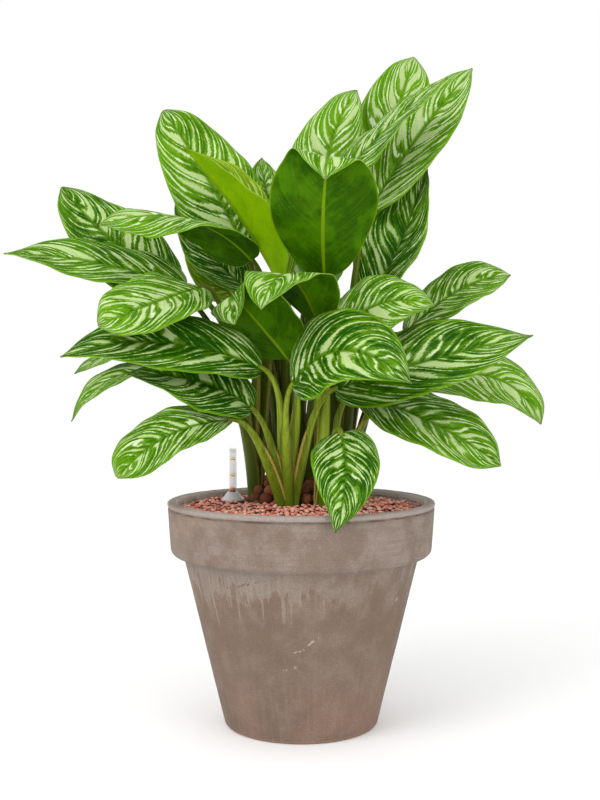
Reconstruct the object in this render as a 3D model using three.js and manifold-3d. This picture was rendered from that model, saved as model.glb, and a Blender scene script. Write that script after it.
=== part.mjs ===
// A potted Chinese evergreen with feather-striped leaves, in a weathered clay pot filled with clay
// granulate, with a water-level indicator. Millimetres, +Z up, the pot's foot centred on the origin,
// the photographed side towards -Y.

import * as THREE from 'three';
import { mergeVertices } from 'three/addons/utils/BufferGeometryUtils.js';
import Module from 'manifold-3d';

const wasm = await Module();
wasm.setup();

// Driving dimensions
const GAP = 0.3;

const POT_HEIGHT = 250;
const RIM_RADIUS = 150;
const FOOT_RADIUS = 86;
const FOOT_ROUNDING = 4;
const COLLAR_BOTTOM_Z = 189;
const COLLAR_BOTTOM_RADIUS = 145.5;
const COLLAR_ROUNDING = 9;
const BODY_TOP_RADIUS = 131.5;
const LIP_HEIGHT = 6.5;
const LIP_WIDTH = 12;
const LIP_GROOVE = 1.2;
const LIP_BULGE = 0.8;
const WALL_AT_FLOOR = 11;
const FLOOR_Z = 14;
const POT_SIDES = 40;
const CURVE_STEPS = 3;

const GRANULATE_Z = 239;
const GRANULATE_RISE = 4;
const GRANULATE_RELIEF = 1.3;
const GRAIN_PITCH = 9;
const GRANULATE_RINGS = 9;

const ROOT_BALL = new THREE.Vector3(-3, 41, 0);
const ROOT_BALL_RADIUS = 62.5;
const ROOT_BALL_FOOT_RADIUS = 54;
const ROOT_BALL_BOTTOM_Z = 128;
const ROOT_BALL_TOP_Z = 241;
const ROOT_BALL_SIDES = 28;
const CLAY_BALL_COUNT = 18;
const CLAY_BALL_RADIUS = 8;
const DOME = new THREE.Vector3(-6, 54, 0);
const DOME_RADIUS = 49;
const DOME_HEIGHT = 32;
const GOLDEN_ANGLE = Math.PI * (3 - Math.sqrt(5));

const CANE_RADIUS = 9;
const CANE_BOTTOM_Z = 200;
const CANE_TOP_Z = 260;
const CANE_SIDES = 10;
const STEM_HOLE_RADIUS = 9.6;
const STEM_HOLE_NECK_Z = 234;
const STEM_HOLE_TOP_RADIUS = 16;
const STEM_HOLE_TOP_Z = 292;
const SHEATH_RADIUS = 6.2;
const STALK_RADIUS = 2.8;
const STALK_FLATNESS = 0.8;
const STALK_RISE = 0.42;
const STALK_KNEE = 42;
const SHEATH_FROM_Z = 244;
const SHEATH_END = 0.55;
const STALK_SIDES = 6;
const STALK_STEPS = 6;

const BLADE_THICKNESS = 1;
const MIDRIB_THICKNESS = 2.2;
const BLADE_STEPS = 9;
const CURLED_BLADE_STEPS = 14;
const BLADE_COLUMNS = 4;
const MARGIN_WAVE = 4;
const MARGIN_WAVES = 1.6;
const BLADE_SWELL = 0.78;
const BLADE_ROUNDNESS = 0.62;
const CURL_FROM = 0.66;
const CURL_SPAN = 0.14;

const INDICATOR = new THREE.Vector3(-80, 52, 0);
const TUBE_RADIUS = 4.6;
const TUBE_BORE = 3.4;
const TUBE_BOTTOM_Z = 114;
const TUBE_TOP_Z = 303;
const TUBE_SIDES = 12;
const CAP_DEPTH = 5;
const CAP_HEAD = 1.5;
const CONE_RADIUS = 14;
const CONE_TOP_RADIUS = 6.2;
const CONE_HEIGHT = 10;
const CONE_RIM = 2;
const FLOAT_RADIUS = 2.9;
const FLOAT_HEIGHT = 40;
const ROD_RADIUS = 2;
const ROD_TOP_Z = 258;

// Where each shoot stands, in the pot's plan
const SHOOTS = {
  a: [-15, 0],
  b: [22, 4],
  c: [-49, 35],
  d: [4, 48],
  e: [42, 40],
  f: [-14, 84],
};

// The leaves. base, mid and tip are points of the midrib, half is half the blade's width, face is the
// way the upper side looks, fold is how far each half is raised, arch how far it rolls over, twist the
// turn from base to tip, taper how long and fine the tip is. curl is how far the tip is bent back, and
// curlFrom where that begins. A higher swell puts the widest part nearer to the tip, a lower round makes
// the base rounder, and wave is how far the margins rise and fall.
const LEAVES = [
  { name: 'leaf_01', shoot: 'c', base: [-65, 45, 536], mid: [-112, 70, 625], tip: [-164, 85, 703],
    half: 52, face: [0.1, -0.9, 0.45], fold: 12, arch: 0.15, taper: -0.1 },
  { name: 'leaf_02', shoot: 'd', base: [-23, 16, 493], mid: [-72, 10, 573], tip: [-131, -10, 643],
    half: 50, face: [0.8, -0.2, 0.6], fold: 56, arch: 0.1, taper: 0.6, lime: true },
  { name: 'leaf_03', shoot: 'd', base: [26, 0, 501], mid: [24, -48, 574], tip: [33, -62, 657],
    half: 58, face: [0.05, 0.95, 0.3], fold: 8, arch: 0.1, curl: -155, curlFrom: 0.74,
    taper: 0.5, wave: -6, round: 0.45, swell: 1.1 },
  { name: 'leaf_04', shoot: 'e', base: [28, 78, 563], mid: [34, 95, 658], tip: [67, 106, 732],
    half: 45, face: [-0.1, -0.9, 0.4], fold: 12, arch: 0.15, taper: 0 },
  { name: 'leaf_05', shoot: 'e', base: [85, 95, 593], mid: [114, 115, 698], tip: [138, 126, 777],
    half: 50, face: [0.05, -0.9, 0.4], fold: 12, arch: 0.15, taper: -0.1 },
  { name: 'leaf_06', shoot: 'e', base: [78, 25, 577], mid: [134, 40, 663], tip: [197, 48, 743],
    half: 40, face: [-0.2, -0.85, 0.4], fold: 18, arch: 0.1, taper: 0.1, swell: 0.92 },
  { name: 'leaf_07', shoot: 'e', base: [78, 20, 471], mid: [112, 30, 539], tip: [145, 40, 626],
    half: 46, face: [-0.53, -0.8, 0.35], fold: 30, arch: 0.1, taper: 0.3 },
  { name: 'leaf_08', shoot: 'e', base: [121, 50, 439], mid: [189, 70, 491], tip: [250, 85, 508],
    half: 30, face: [-0.05, -0.8, 0.6], fold: 15, arch: 0.1, taper: 0.1, swell: 1.15 },
  { name: 'leaf_09', shoot: 'b', base: [35, -10, 434], mid: [88, -38, 468], tip: [143, -48, 464],
    half: 40, face: [-0.1, -0.8, 0.6], fold: 12, arch: 0.2, taper: 0.1 },
  { name: 'leaf_10', shoot: 'a', base: [-10, -50, 379], mid: [43, -112, 416], tip: [108, -158, 382],
    half: 52, face: [-0.35, -0.75, 0.55], twist: -10, fold: 12, arch: 0.15, taper: 0.4 },
  { name: 'leaf_11', shoot: 'a', base: [37, -20, 374], mid: [139, -60, 407], tip: [245, -70, 432],
    half: 47, face: [0, -0.8, 0.55], fold: 15, arch: 0.15, taper: 0.35 },
  { name: 'leaf_12', shoot: 'b', base: [112, 15, 378], mid: [214, 15, 388], tip: [270, 5, 334],
    half: 38, face: [0.2, -0.75, 0.6], fold: 12, arch: 0.15, taper: 0.2, swell: 1.1 },
  { name: 'leaf_13', shoot: 'b', base: [61, -10, 368], mid: [138, -55, 340], tip: [211, -75, 294],
    half: 42, face: [0.3, -0.75, 0.55], fold: 12, arch: 0.15, taper: 0, swell: 1.05 },
  { name: 'leaf_14', shoot: 'b', base: [41, -95, 330], mid: [44, -138, 285], tip: [33, -156, 235],
    half: 34, face: [0, -0.9, 0.35], fold: 10, arch: 0.15, taper: 0.5, round: 0.5, swell: 0.66 },
  { name: 'leaf_15', shoot: 'b', base: [21, -16, 445], mid: [-14, -66, 496], tip: [-41, -124, 457],
    half: 44, face: [0.05, 0, 1], fold: 10, arch: 0.1, taper: 0.1 },
  { name: 'leaf_16', shoot: 'a', base: [-14, -16, 409], mid: [-54, -38, 456], tip: [-98, -48, 505],
    half: 50, face: [0.2, 0.6, 0.75], fold: 10, arch: 0.1, curl: -140, curlFrom: 0.66,
    taper: 0.2, round: 0.5, swell: 0.9 },
  { name: 'leaf_17', shoot: 'c', base: [-112, 2, 488], mid: [-156, -66, 467], tip: [-210, -97, 441],
    half: 45, face: [0, -0.75, 0.65], fold: 14, arch: 0.15, taper: -0.2, swell: 1 },
  { name: 'leaf_18', shoot: 'a', base: [-43, -30, 397], mid: [-149, -72, 425], tip: [-251, -90, 409],
    half: 43, face: [0, -0.75, 0.65], fold: 16, arch: 0.15, taper: 0.25 },
  { name: 'leaf_19', shoot: 'c', base: [-110, 30, 404], mid: [-187, 25, 421], tip: [-256, 10, 391],
    half: 29, face: [-0.1, -0.5, 0.85], fold: 12, arch: 0.15, taper: 0.4 },
  { name: 'leaf_20', shoot: 'c', base: [-103, 15, 376], mid: [-195, 0, 392], tip: [-256, -10, 338],
    half: 24, face: [-0.3, -0.5, 0.8], fold: 20, arch: 0.15, taper: 0.4 },
  { name: 'leaf_21', shoot: 'a', base: [-53, -30, 352], mid: [-109, -50, 383], tip: [-186, -62, 391],
    half: 40, face: [-0.05, -0.7, 0.65], fold: 14, arch: 0.15, taper: 0.4 },
  { name: 'leaf_22', shoot: 'a', base: [-76, -50, 342], mid: [-141, -85, 326], tip: [-189, -105, 284],
    half: 32, face: [-0.15, -0.8, 0.6], fold: 16, arch: 0.15, taper: 0, round: 0.5, swell: 1.35 },
  { name: 'leaf_23', shoot: 'c', base: [-131, 25, 489], mid: [-230, 8, 516], tip: [-331, -5, 525],
    half: 35, face: [0, -0.7, 0.7], fold: 16, arch: 0.15, taper: 0.35 },
  { name: 'leaf_24', shoot: 'c', base: [-143, 45, 488], mid: [-219, 45, 545], tip: [-278, 50, 607],
    half: 46, face: [0.1, -0.85, 0.5], fold: 12, arch: 0.15, taper: 0 },
  { name: 'leaf_25', shoot: 'c', base: [-56, 33, 521], mid: [-128, -2, 564], tip: [-221, -30, 553],
    half: 38, face: [0, -0.2, 1], twist: -120, fold: 4, arch: 0.4, taper: 0.3 },
  { name: 'leaf_26', shoot: 'f', base: [-67, 70, 493], mid: [-111, 85, 538], tip: [-151, 95, 598],
    half: 28, face: [0.2, -0.85, 0.4], fold: 12, arch: 0.15, taper: 0.2 },
  { name: 'leaf_27', shoot: 'f', base: [-76, 90, 479], mid: [-112, 102, 513], tip: [-140, 110, 555],
    half: 24, face: [0.2, -0.85, 0.4], fold: 12, arch: 0.15, taper: 0.3, lime: true },
  { name: 'leaf_28', shoot: 'f', base: [-25, 80, 555], mid: [-42, 95, 610], tip: [-47, 102, 650],
    half: 26, face: [0.1, -0.9, 0.3], fold: 12, arch: 0.15, taper: 0.1 },
  { name: 'leaf_29', shoot: 'e', base: [38, 20, 606], mid: [98, 0, 667], tip: [163, 8, 723],
    half: 28, face: [-0.5, -0.55, 0.65], fold: 8, arch: 0.1, taper: 0.3, twist: -30 },
  { name: 'leaf_30', shoot: 'f', base: [5, 100, 479], mid: [18, 170, 532], tip: [32, 235, 567],
    half: 40, face: [0, -0.4, 0.9], fold: 14, arch: 0.15, taper: 0.3 },
  { name: 'leaf_31', shoot: 'f', base: [-47, 105, 474], mid: [-102, 165, 519], tip: [-145, 215, 536],
    half: 36, face: [-0.2, -0.5, 0.85], fold: 12, arch: 0.15, taper: 0.3 },
  { name: 'leaf_32', shoot: 'e', base: [56, 95, 449], mid: [106, 160, 488], tip: [149, 215, 486],
    half: 38, face: [0.2, -0.4, 0.9], fold: 12, arch: 0.15, taper: 0.3 },
  { name: 'leaf_33', shoot: 'f', base: [-74, 105, 419], mid: [-134, 160, 439], tip: [-196, 200, 431],
    half: 34, face: [-0.2, -0.4, 0.9], fold: 12, arch: 0.15, taper: 0.3 },
  { name: 'leaf_34', shoot: 'e', base: [76, 85, 413], mid: [148, 140, 430], tip: [210, 180, 418],
    half: 34, face: [0.2, -0.4, 0.9], fold: 12, arch: 0.15, taper: 0.3 },
  { name: 'leaf_35', shoot: 'e', base: [70, 80, 359], mid: [129, 135, 343], tip: [182, 165, 311],
    half: 30, face: [0.2, -0.4, 0.9], fold: 12, arch: 0.15, taper: 0.1 },
  { name: 'leaf_36', shoot: 'f', base: [-91, 85, 377], mid: [-135, 130, 390], tip: [-168, 160, 377],
    half: 26, face: [-0.2, -0.4, 0.9], fold: 12, arch: 0.15, taper: 0.1 },
  { name: 'leaf_37', shoot: 'f', base: [20, 90, 560], mid: [29, 125, 615], tip: [42, 140, 655],
    half: 34, face: [0, -0.85, 0.5], fold: 12, arch: 0.15, taper: 0.1 },
  { name: 'leaf_38', shoot: 'f', base: [-74, 100, 545], mid: [-106, 135, 611], tip: [-132, 150, 669],
    half: 36, face: [0.1, -0.85, 0.5], fold: 12, arch: 0.15, taper: 0.1 },
  { name: 'leaf_39', shoot: 'e', base: [102, 115, 553], mid: [121, 150, 625], tip: [147, 165, 690],
    half: 30, face: [0, -0.85, 0.5], fold: 12, arch: 0.15, taper: 0.1 },
];

const UP = new THREE.Vector3(0, 0, 1);

// Materials
const clay = new THREE.MeshStandardMaterial({ color: 0x8f8174, roughness: 0.9 });
const granules = new THREE.MeshStandardMaterial({ color: 0xa5604f, roughness: 0.95 });
const darkClay = new THREE.MeshStandardMaterial({ color: 0x55301c, roughness: 0.95 });
const clearPlastic = new THREE.MeshStandardMaterial({
  color: 0xd2d2d6, roughness: 0.1, transparent: true, opacity: 0.35,
});
const capPlastic = new THREE.MeshStandardMaterial({ color: 0xc9c9cc, roughness: 0.4 });
const redPlastic = new THREE.MeshStandardMaterial({ color: 0xa03018, roughness: 0.4 });
const stalk = new THREE.MeshStandardMaterial({ color: 0x86a024, roughness: 0.5 });
const leafGreen = new THREE.MeshStandardMaterial({ color: 0x5b9a38, roughness: 0.45 });
const leafLime = new THREE.MeshStandardMaterial({ color: 0x82a818, roughness: 0.45 });

// Solids

function toSolid(geometry) {
  const bare = geometry.clone();
  bare.deleteAttribute('normal');
  bare.deleteAttribute('uv');
  const merged = mergeVertices(bare, 1e-4);
  return new wasm.Manifold(new wasm.Mesh({
    numProp: 3,
    vertProperties: new Float32Array(merged.attributes.position.array),
    triVerts: new Uint32Array(merged.index.array),
  }));
}

function toGeometry(solid) {
  const mesh = solid.getMesh();
  const geometry = new THREE.BufferGeometry();
  geometry.setAttribute('position', new THREE.BufferAttribute(new Float32Array(mesh.vertProperties), 3));
  geometry.setIndex(new THREE.BufferAttribute(new Uint32Array(mesh.triVerts), 1));
  geometry.computeVertexNormals();
  return geometry;
}

// A body turned about the upright axis, from a profile of (radius, height) points that starts and ends
// on the axis and runs up its outside
function turned(points, sides) {
  return new THREE.LatheGeometry(points, sides).rotateX(Math.PI / 2);
}

function mesh(name, geometry, material, position = null) {
  const piece = new THREE.Mesh(geometry, material);
  piece.name = name;
  if (position) piece.position.copy(position);
  return piece;
}

// Pot

function innerRadius(z) {
  const bottom = FOOT_RADIUS - WALL_AT_FLOOR;
  const top = RIM_RADIUS - LIP_WIDTH;
  return bottom + ((top - bottom) * (z - FLOOR_Z)) / (POT_HEIGHT - FLOOR_Z);
}

function potGeometry() {
  const lipBottom = POT_HEIGHT - LIP_HEIGHT;
  const lipInner = innerRadius(POT_HEIGHT - LIP_HEIGHT / 2);
  const profile = new THREE.Path();
  profile.moveTo(0, 0);
  profile.lineTo(FOOT_RADIUS - FOOT_ROUNDING, 0);
  profile.quadraticCurveTo(FOOT_RADIUS, 0, FOOT_RADIUS, FOOT_ROUNDING);
  profile.lineTo(BODY_TOP_RADIUS, COLLAR_BOTTOM_Z);
  profile.quadraticCurveTo(
    COLLAR_BOTTOM_RADIUS, COLLAR_BOTTOM_Z, COLLAR_BOTTOM_RADIUS, COLLAR_BOTTOM_Z + COLLAR_ROUNDING,
  );
  profile.lineTo(RIM_RADIUS - LIP_GROOVE, lipBottom - LIP_GROOVE);
  profile.lineTo(RIM_RADIUS - LIP_GROOVE, lipBottom);
  profile.quadraticCurveTo(RIM_RADIUS + LIP_BULGE, POT_HEIGHT, RIM_RADIUS - LIP_WIDTH / 2, POT_HEIGHT);
  profile.quadraticCurveTo(lipInner, POT_HEIGHT, lipInner, POT_HEIGHT - LIP_HEIGHT / 2);
  profile.lineTo(innerRadius(FLOOR_Z), FLOOR_Z);
  profile.lineTo(0, FLOOR_Z);
  return turned(profile.getPoints(CURVE_STEPS), POT_SIDES);
}

// Granulate

function granulateLevel(x, y) {
  const reach = Math.hypot(x, y) / innerRadius(GRANULATE_Z);
  const u = (2 * Math.PI * x) / GRAIN_PITCH;
  const v = (2 * Math.PI * y) / GRAIN_PITCH;
  const grain = Math.sin(u + 1.3 * Math.sin(v / 2)) * Math.sin(v + 1.7 * Math.sin(u / 2));
  return GRANULATE_Z + GRANULATE_RISE * (1 - reach) + GRANULATE_RELIEF * grain;
}

function granulateGeometry() {
  const floor = FLOOR_Z + GAP;
  const wall = innerRadius(GRANULATE_Z) - 2 * GAP;
  const points = [new THREE.Vector2(0, floor), new THREE.Vector2(innerRadius(floor) - 2 * GAP, floor)];
  for (let ring = GRANULATE_RINGS; ring >= 0; ring--) {
    points.push(new THREE.Vector2((wall * ring) / GRANULATE_RINGS, GRANULATE_Z));
  }
  const geometry = turned(points, POT_SIDES);
  const place = geometry.attributes.position;
  for (let i = 0; i < place.count; i++) {
    if (place.getZ(i) > floor + 1) place.setZ(i, granulateLevel(place.getX(i), place.getY(i)));
  }
  let fill = toSolid(geometry);
  fill = fill.subtract(toSolid(rootBallBody(2 * GAP)));
  const bore = turned([
    new THREE.Vector2(0, TUBE_BOTTOM_Z - GAP),
    new THREE.Vector2(TUBE_RADIUS + GAP, TUBE_BOTTOM_Z - GAP),
    new THREE.Vector2(TUBE_RADIUS + GAP, POT_HEIGHT),
    new THREE.Vector2(0, POT_HEIGHT),
  ], TUBE_SIDES).translate(INDICATOR.x, INDICATOR.y, 0);
  return toGeometry(fill.subtract(toSolid(bore)));
}

// Root ball

// The old root ball with its dome; clearance makes it larger all round, for the pocket it stands in
function rootBallBody(clearance = 0) {
  const top = clearance ? POT_HEIGHT : ROOT_BALL_TOP_Z;
  return turned([
    new THREE.Vector2(0, ROOT_BALL_BOTTOM_Z - clearance),
    new THREE.Vector2(ROOT_BALL_FOOT_RADIUS + clearance, ROOT_BALL_BOTTOM_Z - clearance),
    new THREE.Vector2(ROOT_BALL_RADIUS + clearance, GRANULATE_Z - 4),
    new THREE.Vector2(ROOT_BALL_RADIUS + clearance, top),
    new THREE.Vector2(0, top),
  ], ROOT_BALL_SIDES).translate(ROOT_BALL.x, ROOT_BALL.y, 0);
}

function domeHeight(reach) {
  return ROOT_BALL_TOP_Z + DOME_HEIGHT * (1 - reach * reach);
}

function domeBody() {
  const points = [new THREE.Vector2(0, GRANULATE_Z - 4)];
  for (const reach of [1, 0.8, 0.5, 0]) {
    points.push(new THREE.Vector2(DOME_RADIUS * reach, domeHeight(reach) - (reach === 1 ? 2 : 0)));
  }
  return turned(points, ROOT_BALL_SIDES).translate(DOME.x, DOME.y, 0);
}

function clayBallsGeometry() {
  let ball = toSolid(rootBallBody()).add(toSolid(domeBody()));
  for (let i = 0; i < CLAY_BALL_COUNT; i++) {
    const reach = Math.sqrt((i + 0.5) / CLAY_BALL_COUNT);
    const turn = i * GOLDEN_ANGLE;
    const x = DOME.x + DOME_RADIUS * reach * Math.cos(turn);
    const y = DOME.y + DOME_RADIUS * reach * Math.sin(turn);
    const radius = CLAY_BALL_RADIUS * (0.85 + 0.3 * Math.abs(Math.sin(i * 5.1)));
    const pebble = new THREE.IcosahedronGeometry(radius, 1);
    pebble.scale(1.1, 1, 0.9);
    pebble.rotateZ(i);
    pebble.translate(x, y, domeHeight(reach) + 2 * Math.sin(i * 3.3));
    ball = ball.add(toSolid(pebble));
  }
  for (const [x, y] of Object.values(SHOOTS)) {
    const hole = turned([
      new THREE.Vector2(0, CANE_BOTTOM_Z - 2 * GAP),
      new THREE.Vector2(STEM_HOLE_RADIUS, CANE_BOTTOM_Z - 2 * GAP),
      new THREE.Vector2(STEM_HOLE_RADIUS + 1, STEM_HOLE_NECK_Z),
      new THREE.Vector2(STEM_HOLE_TOP_RADIUS, STEM_HOLE_TOP_Z),
      new THREE.Vector2(0, STEM_HOLE_TOP_Z),
    ], CANE_SIDES);
    ball = ball.subtract(toSolid(hole.translate(x, y, 0)));
  }
  return toGeometry(largestPart(ball));
}

function largestPart(solid) {
  const parts = solid.decompose();
  return parts.reduce((best, part) => (part.volume() > best.volume() ? part : best));
}

// Leaf blades

// The rows of a blade stand closer together towards its base and tip
function station(u) {
  return (u + (1 - Math.cos(Math.PI * u)) / 2) / 2;
}

// One blade's surface as a function of t, from base to tip, and s, from -1 to 1 across
class Blade {
  constructor({ name, base, mid, tip, half, face, fold, arch, taper, ...bent }) {
    const { twist = 0, curl = 0, curlFrom = CURL_FROM, wave = MARGIN_WAVE } = bent;
    const { swell = BLADE_SWELL, round = BLADE_ROUNDNESS } = bent;
    const start = new THREE.Vector3(...base);
    const end = new THREE.Vector3(...tip);
    const control = new THREE.Vector3(...mid).multiplyScalar(2).sub(start.clone().add(end).divideScalar(2));
    this.midrib = new THREE.QuadraticBezierCurve3(start, control, end);
    this.length = this.midrib.getLength();
    this.face = new THREE.Vector3(...face);
    this.half = half;
    this.fold = THREE.MathUtils.degToRad(fold);
    this.arch = arch;
    this.taper = taper;
    this.twist = THREE.MathUtils.degToRad(twist);
    this.curl = THREE.MathUtils.degToRad(curl);
    this.curlFrom = curlFrom;
    this.swell = swell;
    this.round = round;
    this.wave = wave;
    this.steps = curl ? CURLED_BLADE_STEPS : BLADE_STEPS;
    this.phase = Number(name.slice(-2)) * 2.4;
  }

  frame(t) {
    const from = this.curl ? Math.min(t, this.curlFrom) : t;
    const place = this.midrib.getPointAt(from);
    const along = this.midrib.getTangentAt(from);
    const normal = this.face.clone().applyAxisAngle(along, this.twist * (from - 0.5));
    normal.addScaledVector(along, -normal.dot(along)).normalize();
    const side = new THREE.Vector3().crossVectors(along, normal);
    if (this.curl && t > this.curlFrom) {
      const bend = this.curl * Math.min((t - this.curlFrom) / CURL_SPAN, 1);
      const radius = (this.length * CURL_SPAN) / this.curl;
      const beyond = this.length * Math.max(t - this.curlFrom - CURL_SPAN, 0);
      place.addScaledVector(along, radius * Math.sin(bend) + beyond * Math.cos(bend));
      place.addScaledVector(normal, radius * (1 - Math.cos(bend)) + beyond * Math.sin(bend));
      normal.multiplyScalar(Math.cos(bend)).addScaledVector(along, -Math.sin(bend));
    }
    return { place, along, side, normal };
  }

  outline(t) {
    return Math.sin(Math.PI * t ** this.swell) ** (this.round + this.taper * t);
  }

  halfWidth(t) {
    return this.half * this.outline(t) + STALK_RADIUS * (1 - t) ** 2 + 0.5;
  }

  point(t, s) {
    const { place, side, normal } = this.frame(t);
    const width = this.halfWidth(t);
    const ripple = Math.sin(2 * Math.PI * MARGIN_WAVES * t + this.phase + (s > 0 ? 2 : 0));
    const wave = this.wave * Math.sqrt(this.outline(t)) * s * s * ripple;
    const rise = width * (Math.abs(s) * Math.sin(this.fold) - this.arch * s * s) + wave;
    return place.addScaledVector(side, width * s * Math.cos(this.fold)).addScaledVector(normal, rise);
  }

  surfaceNormal(t, s) {
    const along = this.point(Math.min(t + 0.02, 1), s).sub(this.point(Math.max(t - 0.02, 0), s));
    const across = this.point(t, Math.min(s + 0.1, 1)).sub(this.point(t, Math.max(s - 0.1, -1)));
    return across.cross(along).normalize();
  }

  thickness(t, s) {
    const rib = Math.exp(-(((this.halfWidth(t) * s) / 4) ** 2));
    return BLADE_THICKNESS + MIDRIB_THICKNESS * (1 - t) ** 2 * rib;
  }

  // The closed blade, with both faces split into the same triangles
  geometry() {
    const upper = [];
    const lower = [];
    for (let i = 0; i <= this.steps; i++) {
      const t = station(i / this.steps);
      for (let j = 0; j <= BLADE_COLUMNS; j++) {
        const s = (2 * j) / BLADE_COLUMNS - 1;
        const point = this.point(t, s);
        upper.push(point);
        lower.push(point.clone().addScaledVector(this.surfaceNormal(t, s), -this.thickness(t, s)));
      }
    }
    const at = (i, j) => i * (BLADE_COLUMNS + 1) + j;
    const under = upper.length;
    const index = [];
    for (let i = 0; i < this.steps; i++) {
      for (let j = 0; j < BLADE_COLUMNS; j++) {
        const [a, b, c, d] = [at(i, j), at(i, j + 1), at(i + 1, j + 1), at(i + 1, j)];
        const split = j < BLADE_COLUMNS / 2 ? [[a, b, c], [a, c, d]] : [[a, b, d], [b, c, d]];
        for (const [p, q, r] of split) index.push(p, q, r, under + p, under + r, under + q);
      }
    }
    const rim = [];
    for (let j = 0; j < BLADE_COLUMNS; j++) rim.push(at(0, j));
    for (let i = 0; i < this.steps; i++) rim.push(at(i, BLADE_COLUMNS));
    for (let j = BLADE_COLUMNS; j > 0; j--) rim.push(at(this.steps, j));
    for (let i = this.steps; i > 0; i--) rim.push(at(i, 0));
    rim.forEach((a, k) => {
      const b = rim[(k + 1) % rim.length];
      index.push(a, under + b, b, a, under + a, under + b);
    });
    const geometry = new THREE.BufferGeometry().setFromPoints([...upper, ...lower]);
    geometry.setIndex(index);
    geometry.computeVertexNormals();
    return geometry;
  }
}

// Shoots

// One leaf stalk, broad where it sheathes the cane and slim under the blade
function stalkGeometry(foot, blade) {
  const { place, along } = blade.frame(0);
  const end = place.addScaledVector(along, -2.5 * GAP);
  const start = new THREE.Vector3(foot[0], foot[1], SHEATH_FROM_Z);
  const reach = end.distanceTo(start);
  const lean = end.clone().sub(start).normalize().lerp(UP, 0.45).normalize();
  const knee = Math.min(STALK_KNEE, reach * 0.2);
  const curve = new THREE.CubicBezierCurve3(
    start,
    start.clone().addScaledVector(lean, reach * STALK_RISE),
    end.clone().addScaledVector(along, -knee),
    end,
  );
  const points = [];
  const across = new THREE.Vector3(1, -0.3, 0);
  for (let i = 0; i <= STALK_STEPS; i++) {
    const t = i / STALK_STEPS;
    const centre = curve.getPoint(t);
    const tangent = curve.getTangent(t);
    across.addScaledVector(tangent, -across.dot(tangent)).normalize();
    const other = new THREE.Vector3().crossVectors(tangent, across);
    const radius = STALK_RADIUS + (SHEATH_RADIUS - STALK_RADIUS) / (1 + Math.exp((t - SHEATH_END) * 12));
    for (let k = 0; k < STALK_SIDES; k++) {
      const angle = (2 * Math.PI * k) / STALK_SIDES;
      const point = centre.clone().addScaledVector(across, radius * Math.cos(angle));
      points.push(point.addScaledVector(other, STALK_FLATNESS * radius * Math.sin(angle)));
    }
  }
  const last = points.length;
  points.push(start, end);
  const index = [];
  for (let k = 0; k < STALK_SIDES; k++) {
    const next = (k + 1) % STALK_SIDES;
    for (let i = 0; i < STALK_STEPS; i++) {
      const a = i * STALK_SIDES + k;
      const b = i * STALK_SIDES + next;
      index.push(a, b, b + STALK_SIDES, a, b + STALK_SIDES, a + STALK_SIDES);
    }
    const top = STALK_STEPS * STALK_SIDES;
    index.push(last, next, k, last + 1, top + k, top + next);
  }
  const geometry = new THREE.BufferGeometry().setFromPoints(points);
  geometry.setIndex(index);
  return geometry;
}

function shootGeometry(foot, blades) {
  const cane = turned([
    new THREE.Vector2(0, CANE_BOTTOM_Z),
    new THREE.Vector2(CANE_RADIUS * 0.8, CANE_BOTTOM_Z),
    new THREE.Vector2(CANE_RADIUS, CANE_BOTTOM_Z + 10),
    new THREE.Vector2(CANE_RADIUS, CANE_TOP_Z - 8),
    new THREE.Vector2(CANE_RADIUS * 0.6, CANE_TOP_Z),
    new THREE.Vector2(0, CANE_TOP_Z + 2),
  ], CANE_SIDES).translate(foot[0], foot[1], 0);
  let shoot = toSolid(cane);
  for (const blade of blades) shoot = shoot.add(toSolid(stalkGeometry(foot, blade)));
  return toGeometry(largestPart(shoot));
}

// Water-level indicator

function tubeGeometry() {
  const outer = turned([
    new THREE.Vector2(0, TUBE_BOTTOM_Z),
    new THREE.Vector2(TUBE_RADIUS, TUBE_BOTTOM_Z),
    new THREE.Vector2(TUBE_RADIUS, TUBE_TOP_Z),
    new THREE.Vector2(0, TUBE_TOP_Z),
  ], TUBE_SIDES);
  const bore = turned([
    new THREE.Vector2(0, TUBE_BOTTOM_Z - 5),
    new THREE.Vector2(TUBE_BORE, TUBE_BOTTOM_Z - 5),
    new THREE.Vector2(TUBE_BORE, TUBE_TOP_Z + 5),
    new THREE.Vector2(0, TUBE_TOP_Z + 5),
  ], TUBE_SIDES);
  return toGeometry(toSolid(outer).subtract(toSolid(bore)));
}

function coneGeometry() {
  const bottom = granulateLevel(INDICATOR.x, INDICATOR.y) + GRANULATE_RELIEF;
  const hole = TUBE_RADIUS + GAP;
  return turned([
    new THREE.Vector2(hole, bottom),
    new THREE.Vector2(CONE_RADIUS, bottom),
    new THREE.Vector2(CONE_RADIUS, bottom + CONE_RIM),
    new THREE.Vector2(CONE_TOP_RADIUS, bottom + CONE_HEIGHT),
    new THREE.Vector2(hole, bottom + CONE_HEIGHT),
    new THREE.Vector2(hole, bottom),
  ], TUBE_SIDES);
}

function floatGeometry() {
  return turned([
    new THREE.Vector2(0, TUBE_BOTTOM_Z),
    new THREE.Vector2(FLOAT_RADIUS, TUBE_BOTTOM_Z),
    new THREE.Vector2(FLOAT_RADIUS, TUBE_BOTTOM_Z + FLOAT_HEIGHT),
    new THREE.Vector2(ROD_RADIUS, TUBE_BOTTOM_Z + FLOAT_HEIGHT + 2),
    new THREE.Vector2(ROD_RADIUS, ROD_TOP_Z),
    new THREE.Vector2(0, ROD_TOP_Z),
  ], 8);
}

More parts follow.
